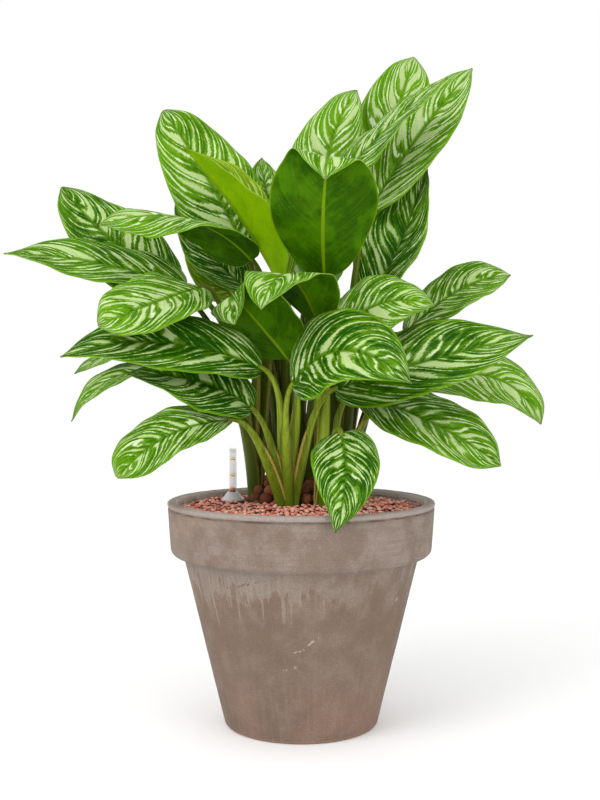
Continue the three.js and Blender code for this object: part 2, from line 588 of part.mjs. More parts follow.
function capGeometry() {
  return turned([
    new THREE.Vector2(0, TUBE_TOP_Z - CAP_DEPTH),
    new THREE.Vector2(TUBE_BORE - GAP, TUBE_TOP_Z - CAP_DEPTH),
    new THREE.Vector2(TUBE_BORE - GAP, TUBE_TOP_Z + GAP),
    new THREE.Vector2(TUBE_RADIUS, TUBE_TOP_Z + GAP),
    new THREE.Vector2(TUBE_RADIUS, TUBE_TOP_Z + CAP_HEAD),
    new THREE.Vector2(0, TUBE_TOP_Z + CAP_HEAD),
  ], TUBE_SIDES);
}

// Assembly

const evergreen = new THREE.Group();
evergreen.add(mesh('pot', potGeometry(), clay));
evergreen.add(mesh('granulate', granulateGeometry(), granules));
evergreen.add(mesh('clay_balls', clayBallsGeometry(), darkClay));

const indicator = new THREE.Group();
indicator.position.copy(INDICATOR);
indicator.add(mesh('indicator_tube', tubeGeometry(), clearPlastic));
indicator.add(mesh('indicator_cone', coneGeometry(), clearPlastic));
indicator.add(mesh('indicator_float', floatGeometry(), redPlastic));
indicator.add(mesh('indicator_cap', capGeometry(), capPlastic));
evergreen.add(indicator);

const plant = new THREE.Group();
for (const [key, foot] of Object.entries(SHOOTS)) {
  const leaves = LEAVES.filter((leaf) => leaf.shoot === key);
  const blades = leaves.map((leaf) => new Blade(leaf));
  plant.add(mesh(`shoot_${key}`, shootGeometry(foot, blades), stalk));
  blades.forEach((blade, k) => {
    const base = new THREE.Vector3(...leaves[k].base);
    const geometry = blade.geometry().translate(-base.x, -base.y, -base.z);
    plant.add(mesh(leaves[k].name, geometry, leaves[k].lime ? leafLime : leafGreen, base));
  });
}
evergreen.add(plant);

export default evergreen;
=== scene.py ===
"""A potted Chinese evergreen with feather-striped leaves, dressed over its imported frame."""

import math
from functools import partialmethod

import bpy
import numpy as np
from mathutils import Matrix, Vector, noise


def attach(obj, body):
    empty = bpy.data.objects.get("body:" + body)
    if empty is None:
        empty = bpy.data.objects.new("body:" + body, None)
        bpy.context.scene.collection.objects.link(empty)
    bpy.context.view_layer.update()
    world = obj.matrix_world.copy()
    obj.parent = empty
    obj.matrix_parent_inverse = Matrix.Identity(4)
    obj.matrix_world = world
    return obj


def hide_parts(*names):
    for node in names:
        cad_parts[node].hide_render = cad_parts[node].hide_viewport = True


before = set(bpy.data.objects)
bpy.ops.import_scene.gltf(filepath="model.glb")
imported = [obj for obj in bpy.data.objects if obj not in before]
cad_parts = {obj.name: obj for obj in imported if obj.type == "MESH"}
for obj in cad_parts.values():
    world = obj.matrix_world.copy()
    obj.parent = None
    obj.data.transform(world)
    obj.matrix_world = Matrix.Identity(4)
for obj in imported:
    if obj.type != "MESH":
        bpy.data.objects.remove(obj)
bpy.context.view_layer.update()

# The studio: a plain white floor and surround, a broad soft light high on the left, and the camera a
# little above the pot's rim, 1.27 m in front of the pot's axis.
CAMERA_PLACE = (-0.0014, -1.272, 0.397)
CAMERA_DIP = 1.6
CAMERA_LENS = 51.1
SENSOR_WIDTH = 36
LIGHTS_AIM = (0, 0, 0.35)


def srgb(red, green, blue):
    """A colour named by its 0 to 255 screen values, as Blender's linear colour."""
    def linear(value):
        value = value / 255
        return value / 12.92 if value <= 0.04045 else ((value + 0.055) / 1.055) ** 2.4
    return linear(red), linear(green), linear(blue), 1.0


def new_material(name, **constants):
    """A material, its node tree and its shader, with constants set on the shader's own sockets."""
    material = bpy.data.materials.new(name)
    material.use_nodes = True
    surface = material.node_tree.nodes["Principled BSDF"]
    for key, value in constants.items():
        surface.inputs[key.replace("_", " ")].default_value = value
    return material, material.node_tree, surface


def new_object(name, data):
    made = bpy.data.objects.new(name, data)
    bpy.context.collection.objects.link(made)
    return made


floor_mesh = bpy.data.meshes.new("floor")
floor_mesh.from_pydata([(-4, -3, 0), (4, -3, 0), (4, 5, 0), (-4, 5, 0)], [], [(0, 1, 2, 3)])
floor_mesh.materials.append(new_material("studio_floor", Roughness=0.8, Base_Color=srgb(253, 253, 253))[0])
floor = new_object("floor", floor_mesh)

world = bpy.data.worlds.new("studio")
world.use_nodes = True
world.node_tree.nodes["Background"].inputs["Color"].default_value = (1, 1, 1, 1)
world.node_tree.nodes["Background"].inputs["Strength"].default_value = 1.0
bpy.context.scene.world = world
bpy.context.scene.view_settings.view_transform = "Standard"


def soft_light(name, place, size, watts):
    lamp = bpy.data.lights.new(name, "AREA")
    lamp.size = size
    lamp.energy = watts
    holder = new_object(name, lamp)
    holder.location = place
    holder.rotation_euler = (Vector(LIGHTS_AIM) - Vector(place)).to_track_quat("-Z", "Y").to_euler()


soft_light("key", (-1.5, -1.5, 2.0), 1.4, 28)
soft_light("fill", (1.6, -1.8, 1.0), 1.6, 12)

camera = new_object("camera", bpy.data.cameras.new("camera"))
camera.data.lens = CAMERA_LENS
camera.data.sensor_width = SENSOR_WIDTH
camera.location = CAMERA_PLACE
camera.rotation_euler = (math.radians(90 - CAMERA_DIP), 0, 0)
bpy.context.scene.camera = camera


# The pot: one piece of fired clay, thrown on a wheel, with a tall collar under a rolled lip. Years of
# hard water have left a grey bloom on it, with runs of lime below the collar and brown at the rim.
MM = 0.001
POT_SIDES = 256
POT_TRUE_TO_Z = 6
POT_INSIDE = 60
POT_WOBBLE = 0.35
LIP_WOBBLE = 0.3
LIP_DIP = 0.6
LIP_FOOT_Z = 243
# The outline, as (radius, height): the foot, then runs in so many steps, straight to a place or round a
# corner to it, up the outside, over the lip and down the inside, and the floor
POT_FOOT = [(0, 0), (45, 0), (78, 0), (82, 0)]
POT_RUNS = [
    (6, (86, 0.2), (86.6, 4.5)),
    (26, (131.2, 187.6)),
    (4, (131.6, 189.6), (134.2, 189.7)),
    (9, (145.2, 189.6), (145.8, 198.5)),
    (8, (148.8, 241.4)),
    (6, (147.0, 243.0), (148.6, 244.2)),
    (10, (151.6, 249.8), (144.2, 250.0)),
    (8, (137.4, 250.0), (137.1, 245.4)),
    (12, (75.4, 15.5)),
]
POT_FLOOR = [(75, 14), (40, 14), (0, 14)]


def run_points(start, steps, *corners):
    """The points of a run: a straight line to one corner, or a quadratic bend round one to another."""
    a, *b, c = (np.array(corner, float) for corner in (start, *corners))
    shares = [step / steps for step in range(1, steps + 1)]
    if b:
        return [tuple((1 - k) ** 2 * a + 2 * k * (1 - k) * b[0] + k * k * c) for k in shares]
    return [tuple(a * (1 - k) + c * k) for k in shares]


def turned_mesh(points, sides, centre=(0, 0), nudge=None):
    """A closed body turned about an upright axis. nudge moves each point, in millimetres."""
    corners = []
    rings = []
    for radius, height in points:
        ring = []
        for k in range(sides if radius > 0 else 1):
            angle = 2 * math.pi * k / sides
            x, y = centre[0] + radius * math.cos(angle), centre[1] + radius * math.sin(angle)
            place = Vector((x, y, height))
            if nudge and radius > 0:
                place += nudge(place)
            ring.append(len(corners))
            corners.append(place * MM)
        rings.append(ring)
    faces = []
    for low, high in zip(rings, rings[1:]):
        for k in range(sides):
            n = (k + 1) % sides
            face = [low[k % len(low)], low[n % len(low)], high[n % len(high)], high[k % len(high)]]
            face = list(dict.fromkeys(face))
            if len(face) > 2:
                faces.append(face)
    mesh = bpy.data.meshes.new("turned")
    mesh.from_pydata(corners, [], faces)
    mesh.shade_smooth()
    return mesh


def new_piece(name, mesh, material, slot, *nodes):
    """A finished piece, which rides with the plant and stands for its nodes of the frame."""
    piece = new_object(name, mesh)
    mesh.name = name
    if material:
        mesh.materials.append(material)
    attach(piece, "root")
    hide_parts(*nodes)


def pot_nudge(place):
    """The slight waver of hand-turned clay, on all but the foot and the middle of the floor."""
    out = Vector((place.x, place.y, 0)).normalized()
    if place.z < POT_TRUE_TO_Z or out.dot(place) < POT_INSIDE:
        return Vector()
    slow = noise.noise(place * 0.012) + 0.4 * noise.noise(place * 0.05)
    lip = abs(noise.noise(Vector((place.x, place.y, 0)) * 0.06)) if place.z > LIP_FOOT_Z else 0
    return out * (POT_WOBBLE * slow - LIP_WOBBLE * lip) + Vector((0, 0, -LIP_DIP * lip))


def add_node(tree, kind, inputs=(), **settings):
    """Adds a node with its settings, and fills its sockets from values or wires."""
    made = tree.nodes.new(kind)
    for key, value in settings.items():
        setattr(made, key, value)
    for key, value in dict(inputs).items():
        if isinstance(value, Wire):
            tree.links.new(value.socket, made.inputs[key])
        else:
            made.inputs[key].default_value = value
    return made


def wired(tree, kind, inputs=(), output=0, **settings):
    """Adds a node, and gives one of its outputs."""
    return Wire(tree, add_node(tree, kind, inputs, **settings).outputs[output])


class Wire:
    """A node's output in its tree, so that a formula reads as a formula."""

    def __init__(self, tree, socket):
        self.tree = tree
        self.socket = socket

    def math(self, operation, *others):
        return wired(self.tree, "ShaderNodeMath", enumerate([self, *others]), operation=operation)

    def vector_math(self, operation, *others, output="Vector"):
        values = enumerate([self, *others])
        return wired(self.tree, "ShaderNodeVectorMath", values, output, operation=operation)

    __add__ = partialmethod(math, "ADD")
    __sub__ = partialmethod(math, "SUBTRACT")
    __mul__ = partialmethod(math, "MULTIPLY")
    __truediv__ = partialmethod(math, "DIVIDE")
    __pow__ = partialmethod(math, "POWER")
    __abs__ = partialmethod(math, "ABSOLUTE")

    def ramp(self, low, high, to_low=0.0, to_high=1.0):
        """A smooth step from to_low, below low, to to_high, above high."""
        values = {"Value": self, "From Min": low, "From Max": high, "To Min": to_low, "To Max": to_high}
        return wired(self.tree, "ShaderNodeMapRange", values, interpolation_type="SMOOTHSTEP")


def vector(x, y, z):
    """A vector of three numbers, of which x is a wire."""
    return wired(x.tree, "ShaderNodeCombineXYZ", {"X": x, "Y": y, "Z": z})


def parts_of(place):
    """A vector's three numbers."""
    made = add_node(place.tree, "ShaderNodeSeparateXYZ", {0: place})
    return [Wire(place.tree, socket) for socket in made.outputs]


def cloud(place, scale, detail=2.0, roughness=0.5):
    """Smooth noise, from 0 to 1."""
    values = {"Vector": place, "Scale": scale, "Detail": detail, "Roughness": roughness}
    return wired(place.tree, "ShaderNodeTexNoise", values)


def mixed(share, first, second):
    """The first colour, with a share of the second. A colour is a wire or its screen values."""
    first, second = (colour if isinstance(colour, Wire) else srgb(*colour) for colour in (first, second))
    return wired(share.tree, "ShaderNodeMix", {0: share, 6: first, 7: second}, 2, data_type="RGBA")


def painted(colour, *coats):
    """A colour under coats that are laid over it in turn, each a share and a colour."""
    for share, coat in coats:
        colour = mixed(share, colour, coat)
    return colour


def object_place(tree):
    return wired(tree, "ShaderNodeTexCoord", output="Object")


def bump(height, distance, strength=1.0):
    values = {"Height": height, "Distance": distance, "Strength": strength}
    return wired(height.tree, "ShaderNodeBump", values)


def link(node, **wires):
    """Feeds a node's sockets, which are named with _ for a space."""
    for key, value in wires.items():
        value.tree.links.new(value.socket, node.inputs[key.replace("_", " ")])


def new_group(name, kind, inputs, outputs):
    """A node group, its inputs as wires by their names, and the node that takes its outputs."""
    tree = bpy.data.node_groups.new(name, kind + "NodeTree")
    for way, sockets in (("INPUT", inputs), ("OUTPUT", outputs)):
        for key, socket in sockets.items():
            tree.interface.new_socket(key, in_out=way, socket_type="NodeSocket" + socket)
    given = tree.nodes.new("NodeGroupInput").outputs
    return tree, {key: Wire(tree, given[key]) for key in inputs}, tree.nodes.new("NodeGroupOutput")


# Grain that all the fired clay shares: a fine salt-and-pepper value and a height for its pores
clay_grain, given, result = new_group(
    "clay_grain", "Shader", {"Grains Per Metre": "Float"}, {"Value": "Float", "Height": "Float"})
place = object_place(clay_grain)
fine_grain = cloud(place, given["Grains Per Metre"], 3, 0.7)
pores = wired(clay_grain, "ShaderNodeTexVoronoi", {
    "Vector": place, "Scale": given["Grains Per Metre"] * 0.45}, "Distance")
link(result, Value=fine_grain, Height=fine_grain * 0.6 + pores.ramp(0.05, 0.3) * 0.4)


def clay_texture(tree, grains_per_metre):
    """The clay grain's value and height, in a material."""
    made = add_node(tree, "ShaderNodeGroup", {"Grains Per Metre": grains_per_metre}, node_tree=clay_grain)
    return [Wire(tree, socket) for socket in made.outputs]


# A scratch: a mask that is 1 along a straight stroke in the pot's front, given by its two ends
scratch, given, result = new_group("scratch", "Shader", dict.fromkeys(
    ("Start X", "Start Z", "End X", "End Z", "Width"), "Float"), {"Mask": "Float"})
start_x, start_z, end_x, end_z, width = given.values()
place = object_place(scratch)
x, y, z = parts_of(place)
run_x, run_z = end_x - start_x, end_z - start_z
step = ((x - start_x) * run_x + (z - start_z) * run_z) / (run_x * run_x + run_z * run_z)
step = step.math("MAXIMUM", 0.0).math("MINIMUM", 1.0)
off_x, off_z = x - start_x - step * run_x, z - start_z - step * run_z
waver = (cloud(place, 180, 2) - 0.5) * 0.006
far = abs((off_x * off_x + off_z * off_z) ** 0.5 + waver)
stroke = (far / width).ramp(0.4, 1.0, 1, 0) * y.ramp(-0.02, 0.0, 1, 0)
link(result, Mask=stroke * cloud(place, 420, 2).ramp(0.42, 0.56))


def scratched(tree, start, end, width):
    """A scratch's mask, from its ends and width in millimetres."""
    values = enumerate(value * MM for value in (*start, *end, width))
    return wired(tree, "ShaderNodeGroup", values, node_tree=scratch)


pot_clay, tree, surface = new_material("weathered_clay")
place = object_place(tree)
x, y, z = parts_of(place)
radius = (x * x + y * y) ** 0.5
around_x, around_y = x / radius, y / radius


def round_cloud(scale, up, detail, roughness=0.5):
    """Noise that follows the pot round, with its own scale round it and another upwards."""
    return cloud(vector(around_x * scale, around_y * scale, up), 1, detail, roughness)


value, height = clay_texture(tree, 900)
broad = cloud(place, 11, 4, 0.6)
patches = cloud(place, 46, 5, 0.65)
streaks = round_cloud(22, z * 11, 4, 0.65)
wheel_lines = round_cloud(2, z * 420, 3, 0.6)
on_body = z.ramp(0.186, 0.191, 1, 0)
on_collar = z.ramp(0.188, 0.194) * z.ramp(0.239, 0.243, 1, 0)
on_lip = z.ramp(0.2425, 0.2455)
# The inner wall below the lip is painted lighter: painted light that lifts the shade inside the rim
inner_wall_painted_light = radius.ramp(0.1395, 0.1415, 1, 0) * z.ramp(0.225, 0.232)
colour = painted(
    mixed(broad.ramp(0.36, 0.64), (126, 107, 93), (142, 124, 111)),
    (patches.ramp(0.46, 0.70) * 0.45, (156, 141, 130)),
    (on_collar * patches.ramp(0.36, 0.66, 0.1, 0.6), (160, 145, 134)),
    (on_collar * wheel_lines.ramp(0.45, 0.7) * 0.30, (120, 104, 92)),
    (on_lip * 0.65, (186, 174, 166)),
    (inner_wall_painted_light * patches.ramp(0.36, 0.66, 0.95, 0.7), (214, 204, 196)))

# The lime film under the collar, which ends in narrow runs
fine_runs = round_cloud(42, z * 9, 2)
run_lengths = round_cloud(17, 5.0, 2)
wide_runs = round_cloud(7, 0.0, 2)
depth = fine_runs.ramp(0.48, 0.58) * run_lengths.ramp(0.35, 0.68) * 0.036 + wide_runs.ramp(0.3, 0.7) * 0.026
depth += (patches - 0.5) * 0.03
film = (z + depth).ramp(0.177, 0.182) * on_body * x.ramp(-0.02, 0.05, 1, 0.25)
low_film = z.ramp(0.02, 0.12, 1, 0.1) * streaks.ramp(0.46, 0.68) * on_body
blush = z.ramp(0.02, 0.09, 1, 0) * broad.ramp(0.40, 0.58)
colour = painted(
    colour,
    (on_body * patches.ramp(0.38, 0.62, 0.75, 0.45), (121, 99, 81)),
    (on_body * z.ramp(0.13, 0.18) * patches.ramp(0.40, 0.66) * 0.5, (158, 144, 132)),
    (film * streaks.ramp(0.30, 0.60, 0.25, 0.75), (160, 146, 134)),
    (low_film * 0.35, (154, 138, 125)),
    (blush * 0.4, (150, 114, 96)))

# Brown at the left of the rim, a darker line in the lip's groove, scratches, and the worn foot
rust = abs(x + 0.135).ramp(0.0, 0.05, 1, 0) * z.ramp(0.200, 0.236) * patches.ramp(0.40, 0.62)
groove = z.ramp(0.2412, 0.2424) * z.ramp(0.2432, 0.2442, 1, 0)
groove_darkening = round_cloud(9, z * 420, 3).ramp(0.44, 0.62)
pale_scratches = (((-12, 103), (2, 107)), ((6, 112), (18, 120)),
                  ((-18, 84), (-6, 88)), ((96, 145), (102, 152)))
colour = painted(
    colour,
    (rust * 0.5, (172, 136, 104)),
    (groove * (groove_darkening * 0.65 + 0.1), (66, 53, 45)),
    (scratched(tree, (-78, 169), (-45, 179), 0.7) * 0.8, (92, 72, 58)),
    *((scratched(tree, start, end, 1.1) * 0.7, (196, 182, 168)) for start, end in pale_scratches),
    (z.ramp(0.0005, 0.0045, 0.5, 0), (196, 160, 134)),
    (value.ramp(0.34, 0.66, 0.42, 0), (86, 71, 62)),
    (value.ramp(0.60, 0.74) * 0.3, (192, 180, 169)))
relief = height * 0.7 + patches * 0.5 + wheel_lines * on_collar * 0.3
link(surface, Base_Color=colour, Normal=bump(relief, 0.0015), Roughness=value.ramp(0.3, 0.7, 0.84, 0.96))

pot_outline = list(POT_FOOT)
for run in POT_RUNS:
    pot_outline += run_points(pot_outline[-1], *run)
pot = turned_mesh(pot_outline + POT_FLOOR, POT_SIDES, nudge=pot_nudge)
new_piece("clay_pot", pot, pot_clay, "fired_clay", "pot")


# The granulate: fine fired-clay grains, raked almost level a finger's width under the lip. Round
# grains of 4 to 6 mm lie loose over a bed that stands for the lower grains, painted dark: painted shade in
# the gaps.
GRANULATE_Z = 240.0
GRANULATE_RISE = 4.0
BED_RADIUS = 136.6
BED_RINGS = 34
BED_SIDES = 120
BED_DEPTH = 8
BED_SINK = 2.0
GRAIN_SPACING = 4.4
GRAIN_RADIUS = 2.5
GRAIN_LIFT = 3.4
MOST_LUMPS = 160000.0
FULL_TURN = 6.28
DOME = (-6, 54)
DOME_RADIUS = 57.0


def bed_height(x, y):
    reach = math.hypot(x, y) / BED_RADIUS
    relief = 1.1 * noise.noise(Vector((x, y, 0)) * 0.11) + 0.8 * noise.noise(Vector((x, y, 9)) * 0.035)
    return GRANULATE_Z + GRANULATE_RISE * (1 - reach) + relief


def bed_mesh():
    """The bed's uneven top, closed with a flat floor."""
    rings = [BED_RADIUS * (k + 1) / BED_RINGS for k in range(BED_RINGS)]
    points = [(0, GRANULATE_Z - BED_DEPTH), (BED_RADIUS, GRANULATE_Z - BED_DEPTH)]
    points += [(radius, GRANULATE_Z + 1) for radius in reversed(rings)] + [(0, GRANULATE_Z + 1)]
    mesh = turned_mesh(points, BED_SIDES)
    for corner in mesh.vertices:
        if corner.co.z > (GRANULATE_Z - BED_DEPTH / 2) * MM:
            corner.co.z = (bed_height(corner.co.x / MM, corner.co.y / MM) - BED_SINK) * MM
    return mesh


def grown(mesh, tree, inputs, further=None):
    """The plain mesh that a Geometry Nodes tree makes of a mesh, after what further does to its object."""
    holder = new_object(tree.name, mesh)
    modifier = holder.modifiers.new(tree.name, "NODES")
    modifier.node_group = tree
    for item in tree.interface.items_tree:
        if item.in_out == "INPUT" and item.name in inputs:
            modifier[item.identifier] = inputs[item.name]
    if further:
        further(holder)
    graph = bpy.context.evaluated_depsgraph_get()
    made = bpy.data.meshes.new_from_object(holder.evaluated_get(graph))
    holder.modifiers.clear()
    bpy.data.objects.remove(holder)
    return made


def named(tree, name, kind="FLOAT"):
    """A mesh's own attribute, in a Geometry Nodes tree."""
    return wired(tree, "GeometryNodeInputNamedAttribute", {"Name": name}, "Attribute", data_type=kind)


def moved(shape, **place):
    """A shape whose points go to a Position or by an Offset."""
    return wired(shape.tree, "GeometryNodeSetPosition", {"Geometry": shape, **place})


def scaled(way, size):
    return wired(way.tree, "ShaderNodeVectorMath", {0: way, "Scale": size}, operation="SCALE")


def smoothed(shape):
    return wired(shape.tree, "GeometryNodeSetShadeSmooth", {"Geometry": shape})


def stored(shape, name, value, domain="POINT"):
    """A shape with a number stored under a name, for its material to read."""
    return wired(shape.tree, "GeometryNodeStoreNamedAttribute", {
        "Geometry": shape, "Name": name, "Value": value}, data_type="FLOAT", domain=domain)


def end_tree(shape, given, result):
    """Ends a Geometry Nodes tree: its copies become real, and it gets its material."""
    real = wired(shape.tree, "GeometryNodeRealizeInstances", {0: shape})
    dressed = wired(shape.tree, "GeometryNodeSetMaterial", {"Geometry": real, "Material": given["Finish"]})
    shape.tree.links.new(dressed.socket, result.inputs[0])


def by_chance(tree, low, high, seed):
    return wired(tree, "FunctionNodeRandomValue", {2: low, 3: high, "Seed": seed}, 1, data_type="FLOAT")


# The tree that strews lumps over a surface: lumps of one kind, each lifted, turned and scaled by chance
strewn, given, result = new_group("strewn_lumps", "Geometry", {
    "Surface": "Geometry", "Spacing": "Float", "Lump Radius": "Float", "Lump Corners": "Int",
    "Lumpiness": "Float", "Lift": "Float", "Seed": "Int", "Finish": "Material"}, {"Lumps": "Geometry"})
corners = given["Lump Corners"]
spots = wired(strewn, "GeometryNodeDistributePointsOnFaces", {
    "Mesh": given["Surface"], "Distance Min": given["Spacing"], "Density Max": MOST_LUMPS,
    "Density Factor": named(strewn, "strewn"), "Seed": given["Seed"]}, distribute_method="POISSON")
rise = by_chance(strewn, 0.0, 1.0, 23)
lift = wired(strewn, "ShaderNodeCombineXYZ", {"Z": rise * rise * given["Lift"]})
lump = wired(strewn, "GeometryNodeMeshCube", {
    "Size": (2, 2, 2), "Vertices X": corners, "Vertices Y": corners, "Vertices Z": corners})
ball = wired(strewn, "GeometryNodeInputPosition").vector_math("NORMALIZE")
size = (cloud(ball, 1.1, 2) - 0.5) * given["Lumpiness"] + 1.0
spin = wired(strewn, "FunctionNodeRandomValue", {
    0: (0, 0, 0), 1: (FULL_TURN,) * 3, "Seed": given["Seed"]}, data_type="FLOAT_VECTOR")
placed = wired(strewn, "GeometryNodeInstanceOnPoints", {
    "Points": moved(spots, Offset=lift), "Instance": smoothed(moved(lump, Position=scaled(ball, size))),
    "Rotation": spin, "Scale": by_chance(strewn, 0.72, 1.25, 5) * given["Lump Radius"]})
end_tree(stored(placed, "tint", by_chance(strewn, 0.0, 1.0, 11), "INSTANCE"), given, result)


def attribute(tree, name, output="Fac"):
    """A mesh's own attribute, in a material."""
    return wired(tree, "ShaderNodeAttribute", output=output, attribute_name=name)


granule_clay, tree, surface = new_material("granule_clay", Roughness=0.85)
tint = attribute(tree, "tint")
value, height = clay_texture(tree, 2600)
up = parts_of(wired(tree, "ShaderNodeNewGeometry", output="Normal"))[2]
colour = painted(
    mixed(tint, (200, 90, 72), (255, 196, 170)),
    # A few grains, and light flecks on all of them, are painted pale: painted highlights
    (tint.ramp(0.93, 0.95) * 0.6, (206, 184, 186)),
    (value.ramp(0.52, 0.68) * 0.35, (255, 214, 202)),
    # Each grain is painted dark where it faces down: painted shade in the gaps between grains
    (up.ramp(-0.2, 0.6, 0.95, 0), (66, 26, 26)))
link(surface, Base_Color=colour, Normal=bump(height, 0.0003, 0.6))

# The bed is painted dark: painted shade between the grains
bed_shade_clay, tree, surface = new_material("deep_granulate_shade", Roughness=0.95)
value, height = clay_texture(tree, 500)
link(surface, Base_Color=mixed(value.ramp(0.4, 0.6), (58, 28, 25), (98, 54, 46)), Normal=bump(height, 0.001))


def mark_corners(mesh, name, values):
    """Stores a number or a vector for each corner of a mesh, for its tree and its material to read."""
    values = np.array(values, float)
    kind, key = ("FLOAT_VECTOR", "vector") if values.ndim > 1 else ("FLOAT", "value")
    mesh.attributes.new(name, kind, "POINT").data.foreach_set(key, values.ravel())


def mark_strewn(mesh, wanted):
    """Marks where a surface gets its lumps: at the corners whose place is wanted."""
    mark_corners(mesh, "strewn", [wanted(corner.co / MM) for corner in mesh.vertices])


def joined(*meshes):
    """Several meshes as one, with their materials."""
    holders = [new_object("joined", mesh) for mesh in meshes]
    with bpy.context.temp_override(active_object=holders[0], selected_editable_objects=holders):
        bpy.ops.object.join()
    mesh = holders[0].data
    bpy.data.objects.remove(holders[0])
    return mesh


def granulate_wanted(place):
    from_dome = math.hypot(place.x - DOME[0], place.y - DOME[1])
    return place.z > GRANULATE_Z - 3 and from_dome > DOME_RADIUS


bed = bed_mesh()
mark_strewn(bed, granulate_wanted)
grains = grown(bed, strewn, {
    "Spacing": GRAIN_SPACING * MM, "Lump Radius": GRAIN_RADIUS * MM, "Lump Corners": 3, "Lumpiness": 0.2,
    "Lift": GRAIN_LIFT * MM, "Seed": 3, "Finish": granule_clay})
bed.materials.append(bed_shade_clay)
new_piece("fine_granulate", joined(bed, grains), None, "clay_granulate", "granulate")


# The old root ball: the coarse clay balls that the plant was raised in, dark with damp. They stand up
# in a low dome among the stems' feet, and the fine granulate was poured round them.
DOME_FLOOR_Z = GRANULATE_Z - 10
DOME_HEIGHT = 32.0
DOME_SIDES = 48
DOME_STEPS = 12
HEAP = (-47, 26)
HEAP_RADIUS = 24.0
HEAP_HEIGHT = 15.0
BALL_SPACING = 10.0
BALL_RADIUS = 6.2

dome_outline = [(0, DOME_FLOOR_Z), (DOME_RADIUS + 3, DOME_FLOOR_Z), (DOME_RADIUS + 3, GRANULATE_Z - 3)]
for k in range(DOME_STEPS, -1, -1):
    reach = k / DOME_STEPS
    dome_outline.append((DOME_RADIUS * reach, GRANULATE_Z - 4 + DOME_HEIGHT * (1 - reach ** 3)))


def heap_nudge(place):
    """Raises the balls that are heaped in front of the left shoot."""
    away = math.hypot(place.x - HEAP[0], place.y - HEAP[1]) / HEAP_RADIUS
    return Vector((0, 0, HEAP_HEIGHT * max(0.0, 1 - away * away) if place.z > GRANULATE_Z - 6 else 0))


dome = turned_mesh(dome_outline, DOME_SIDES, DOME, nudge=heap_nudge)
mark_strewn(dome, lambda place: place.z > GRANULATE_Z - 5)

ball_clay, tree, surface = new_material("damp_clay_ball", Roughness=0.9)
value, height = clay_texture(tree, 900)
colour = painted(mixed(attribute(tree, "tint"), (96, 54, 30), (166, 102, 66)),
                 (value.ramp(0.5, 0.7) * 0.4, (166, 106, 74)))
link(surface, Base_Color=colour, Normal=bump(height, 0.0012))

# The dome under the balls is painted near black: painted shade where it shows between them
gap_shade_soil, tree, surface = new_material("dark_crumbs_shade", Roughness=0.95)
value, height = clay_texture(tree, 300)
link(surface, Base_Color=mixed(value.ramp(0.4, 0.65), (28, 14, 8), (72, 38, 24)), Normal=bump(height, 0.002))

balls = grown(dome, strewn, {
    "Spacing": BALL_SPACING * MM, "Lump Radius": BALL_RADIUS * MM, "Lump Corners": 6, "Lumpiness": 0.35,
    "Seed": 8, "Finish": ball_clay})
dome.materials.append(gap_shade_soil)
new_piece("coarse_clay_balls", joined(dome, balls), None, "clay_balls", "clay_balls")


# The water-level indicator: a clear tube pushed down to the pot's wall, held upright by a clear cone
# on the granulate. A red float on a rod rises in it past two yellow marks, and a plug shuts its top.
INDICATOR = (-80, 52)
TUBE_TOP_Z = 303.0
TUBE_BOTTOM_Z = 114.0
TUBE_RADIUS = 4.6
TUBE_BORE = 3.6
CONE_Z = 241.8
MARK_HEIGHTS = (291.0, 272.0)
MARK_STEPS = 8


def indicator_piece(name, outline, sides, material, slot, node):
    new_piece("indicator_" + name, turned_mesh(outline, sides, INDICATOR), material, slot, node)


def above(foot, *points):
    """An outline's points, from radii and heights above its foot."""
    return [(radius, foot + height) for radius, height in points]


def plastic(name, scale, detail, smoothest, roughest, **constants):
    """A moulded plastic with uneven gloss: the material, its shader, the unevenness and the height."""
    material, tree, surface = new_material(name, **constants)
    place = object_place(tree)
    uneven = cloud(place, scale, detail)
    link(surface, Roughness=uneven.ramp(0.3, 0.7, smoothest, roughest))
    return material, surface, uneven, parts_of(place)[2]


# The tube is clearer low down, where the float shows through it, and towards its top, which lifts the
# shadow that the leaves above cast on it (painted light); no face of it shows from behind
clear_plastic, surface, fog, z = plastic("clear_plastic", 160, 3, 0.35, 0.45, Coat_Weight=0.1)
inside = wired(fog.tree, "ShaderNodeNewGeometry", output="Backfacing")
haze = z.ramp(0.2565, 0.2585, 0.12, 0.50) * z.ramp(0.27, 0.30, 1, 0.7)
link(surface, Base_Color=mixed(fog, (250, 249, 249), (254, 253, 253)), Alpha=haze * (inside * -1.0 + 1.0))
wall = [(5.0, TUBE_BOTTOM_Z), (4.9, 250), (TUBE_RADIUS, 290), (TUBE_RADIUS, TUBE_TOP_Z)]
bore = [(TUBE_BORE, height) for height in (TUBE_TOP_Z, 290, 250, TUBE_BOTTOM_Z)]
indicator_piece("clear_tube", [*wall, *bore, wall[0]], 40, clear_plastic, "clear_plastic", "indicator_tube")

cone_plastic, surface, shine, z = plastic("cone_plastic", 90, 3, 0.12, 0.28, Alpha=0.7, Coat_Weight=0.5)
link(surface, Base_Color=painted(mixed(shine, (224, 224, 236), (246, 246, 252)),
                                 (z.ramp(0.2425, 0.2448, 1, 0) * 0.75, (104, 108, 134))))
indicator_piece("clear_cone", above(
    CONE_Z, (13.0, 0), (14.0, 0.4), (14.1, 1.9), (12.8, 2.8), (9.2, 7.0), (6.6, 10.2), (6.1, 10.9),
    (5.1, 10.9), (5.1, 9.4), (8.0, 6.2), (12.0, 1.2), (12.2, 0), (13.0, 0)),
    48, cone_plastic, "clear_plastic", "indicator_cone")

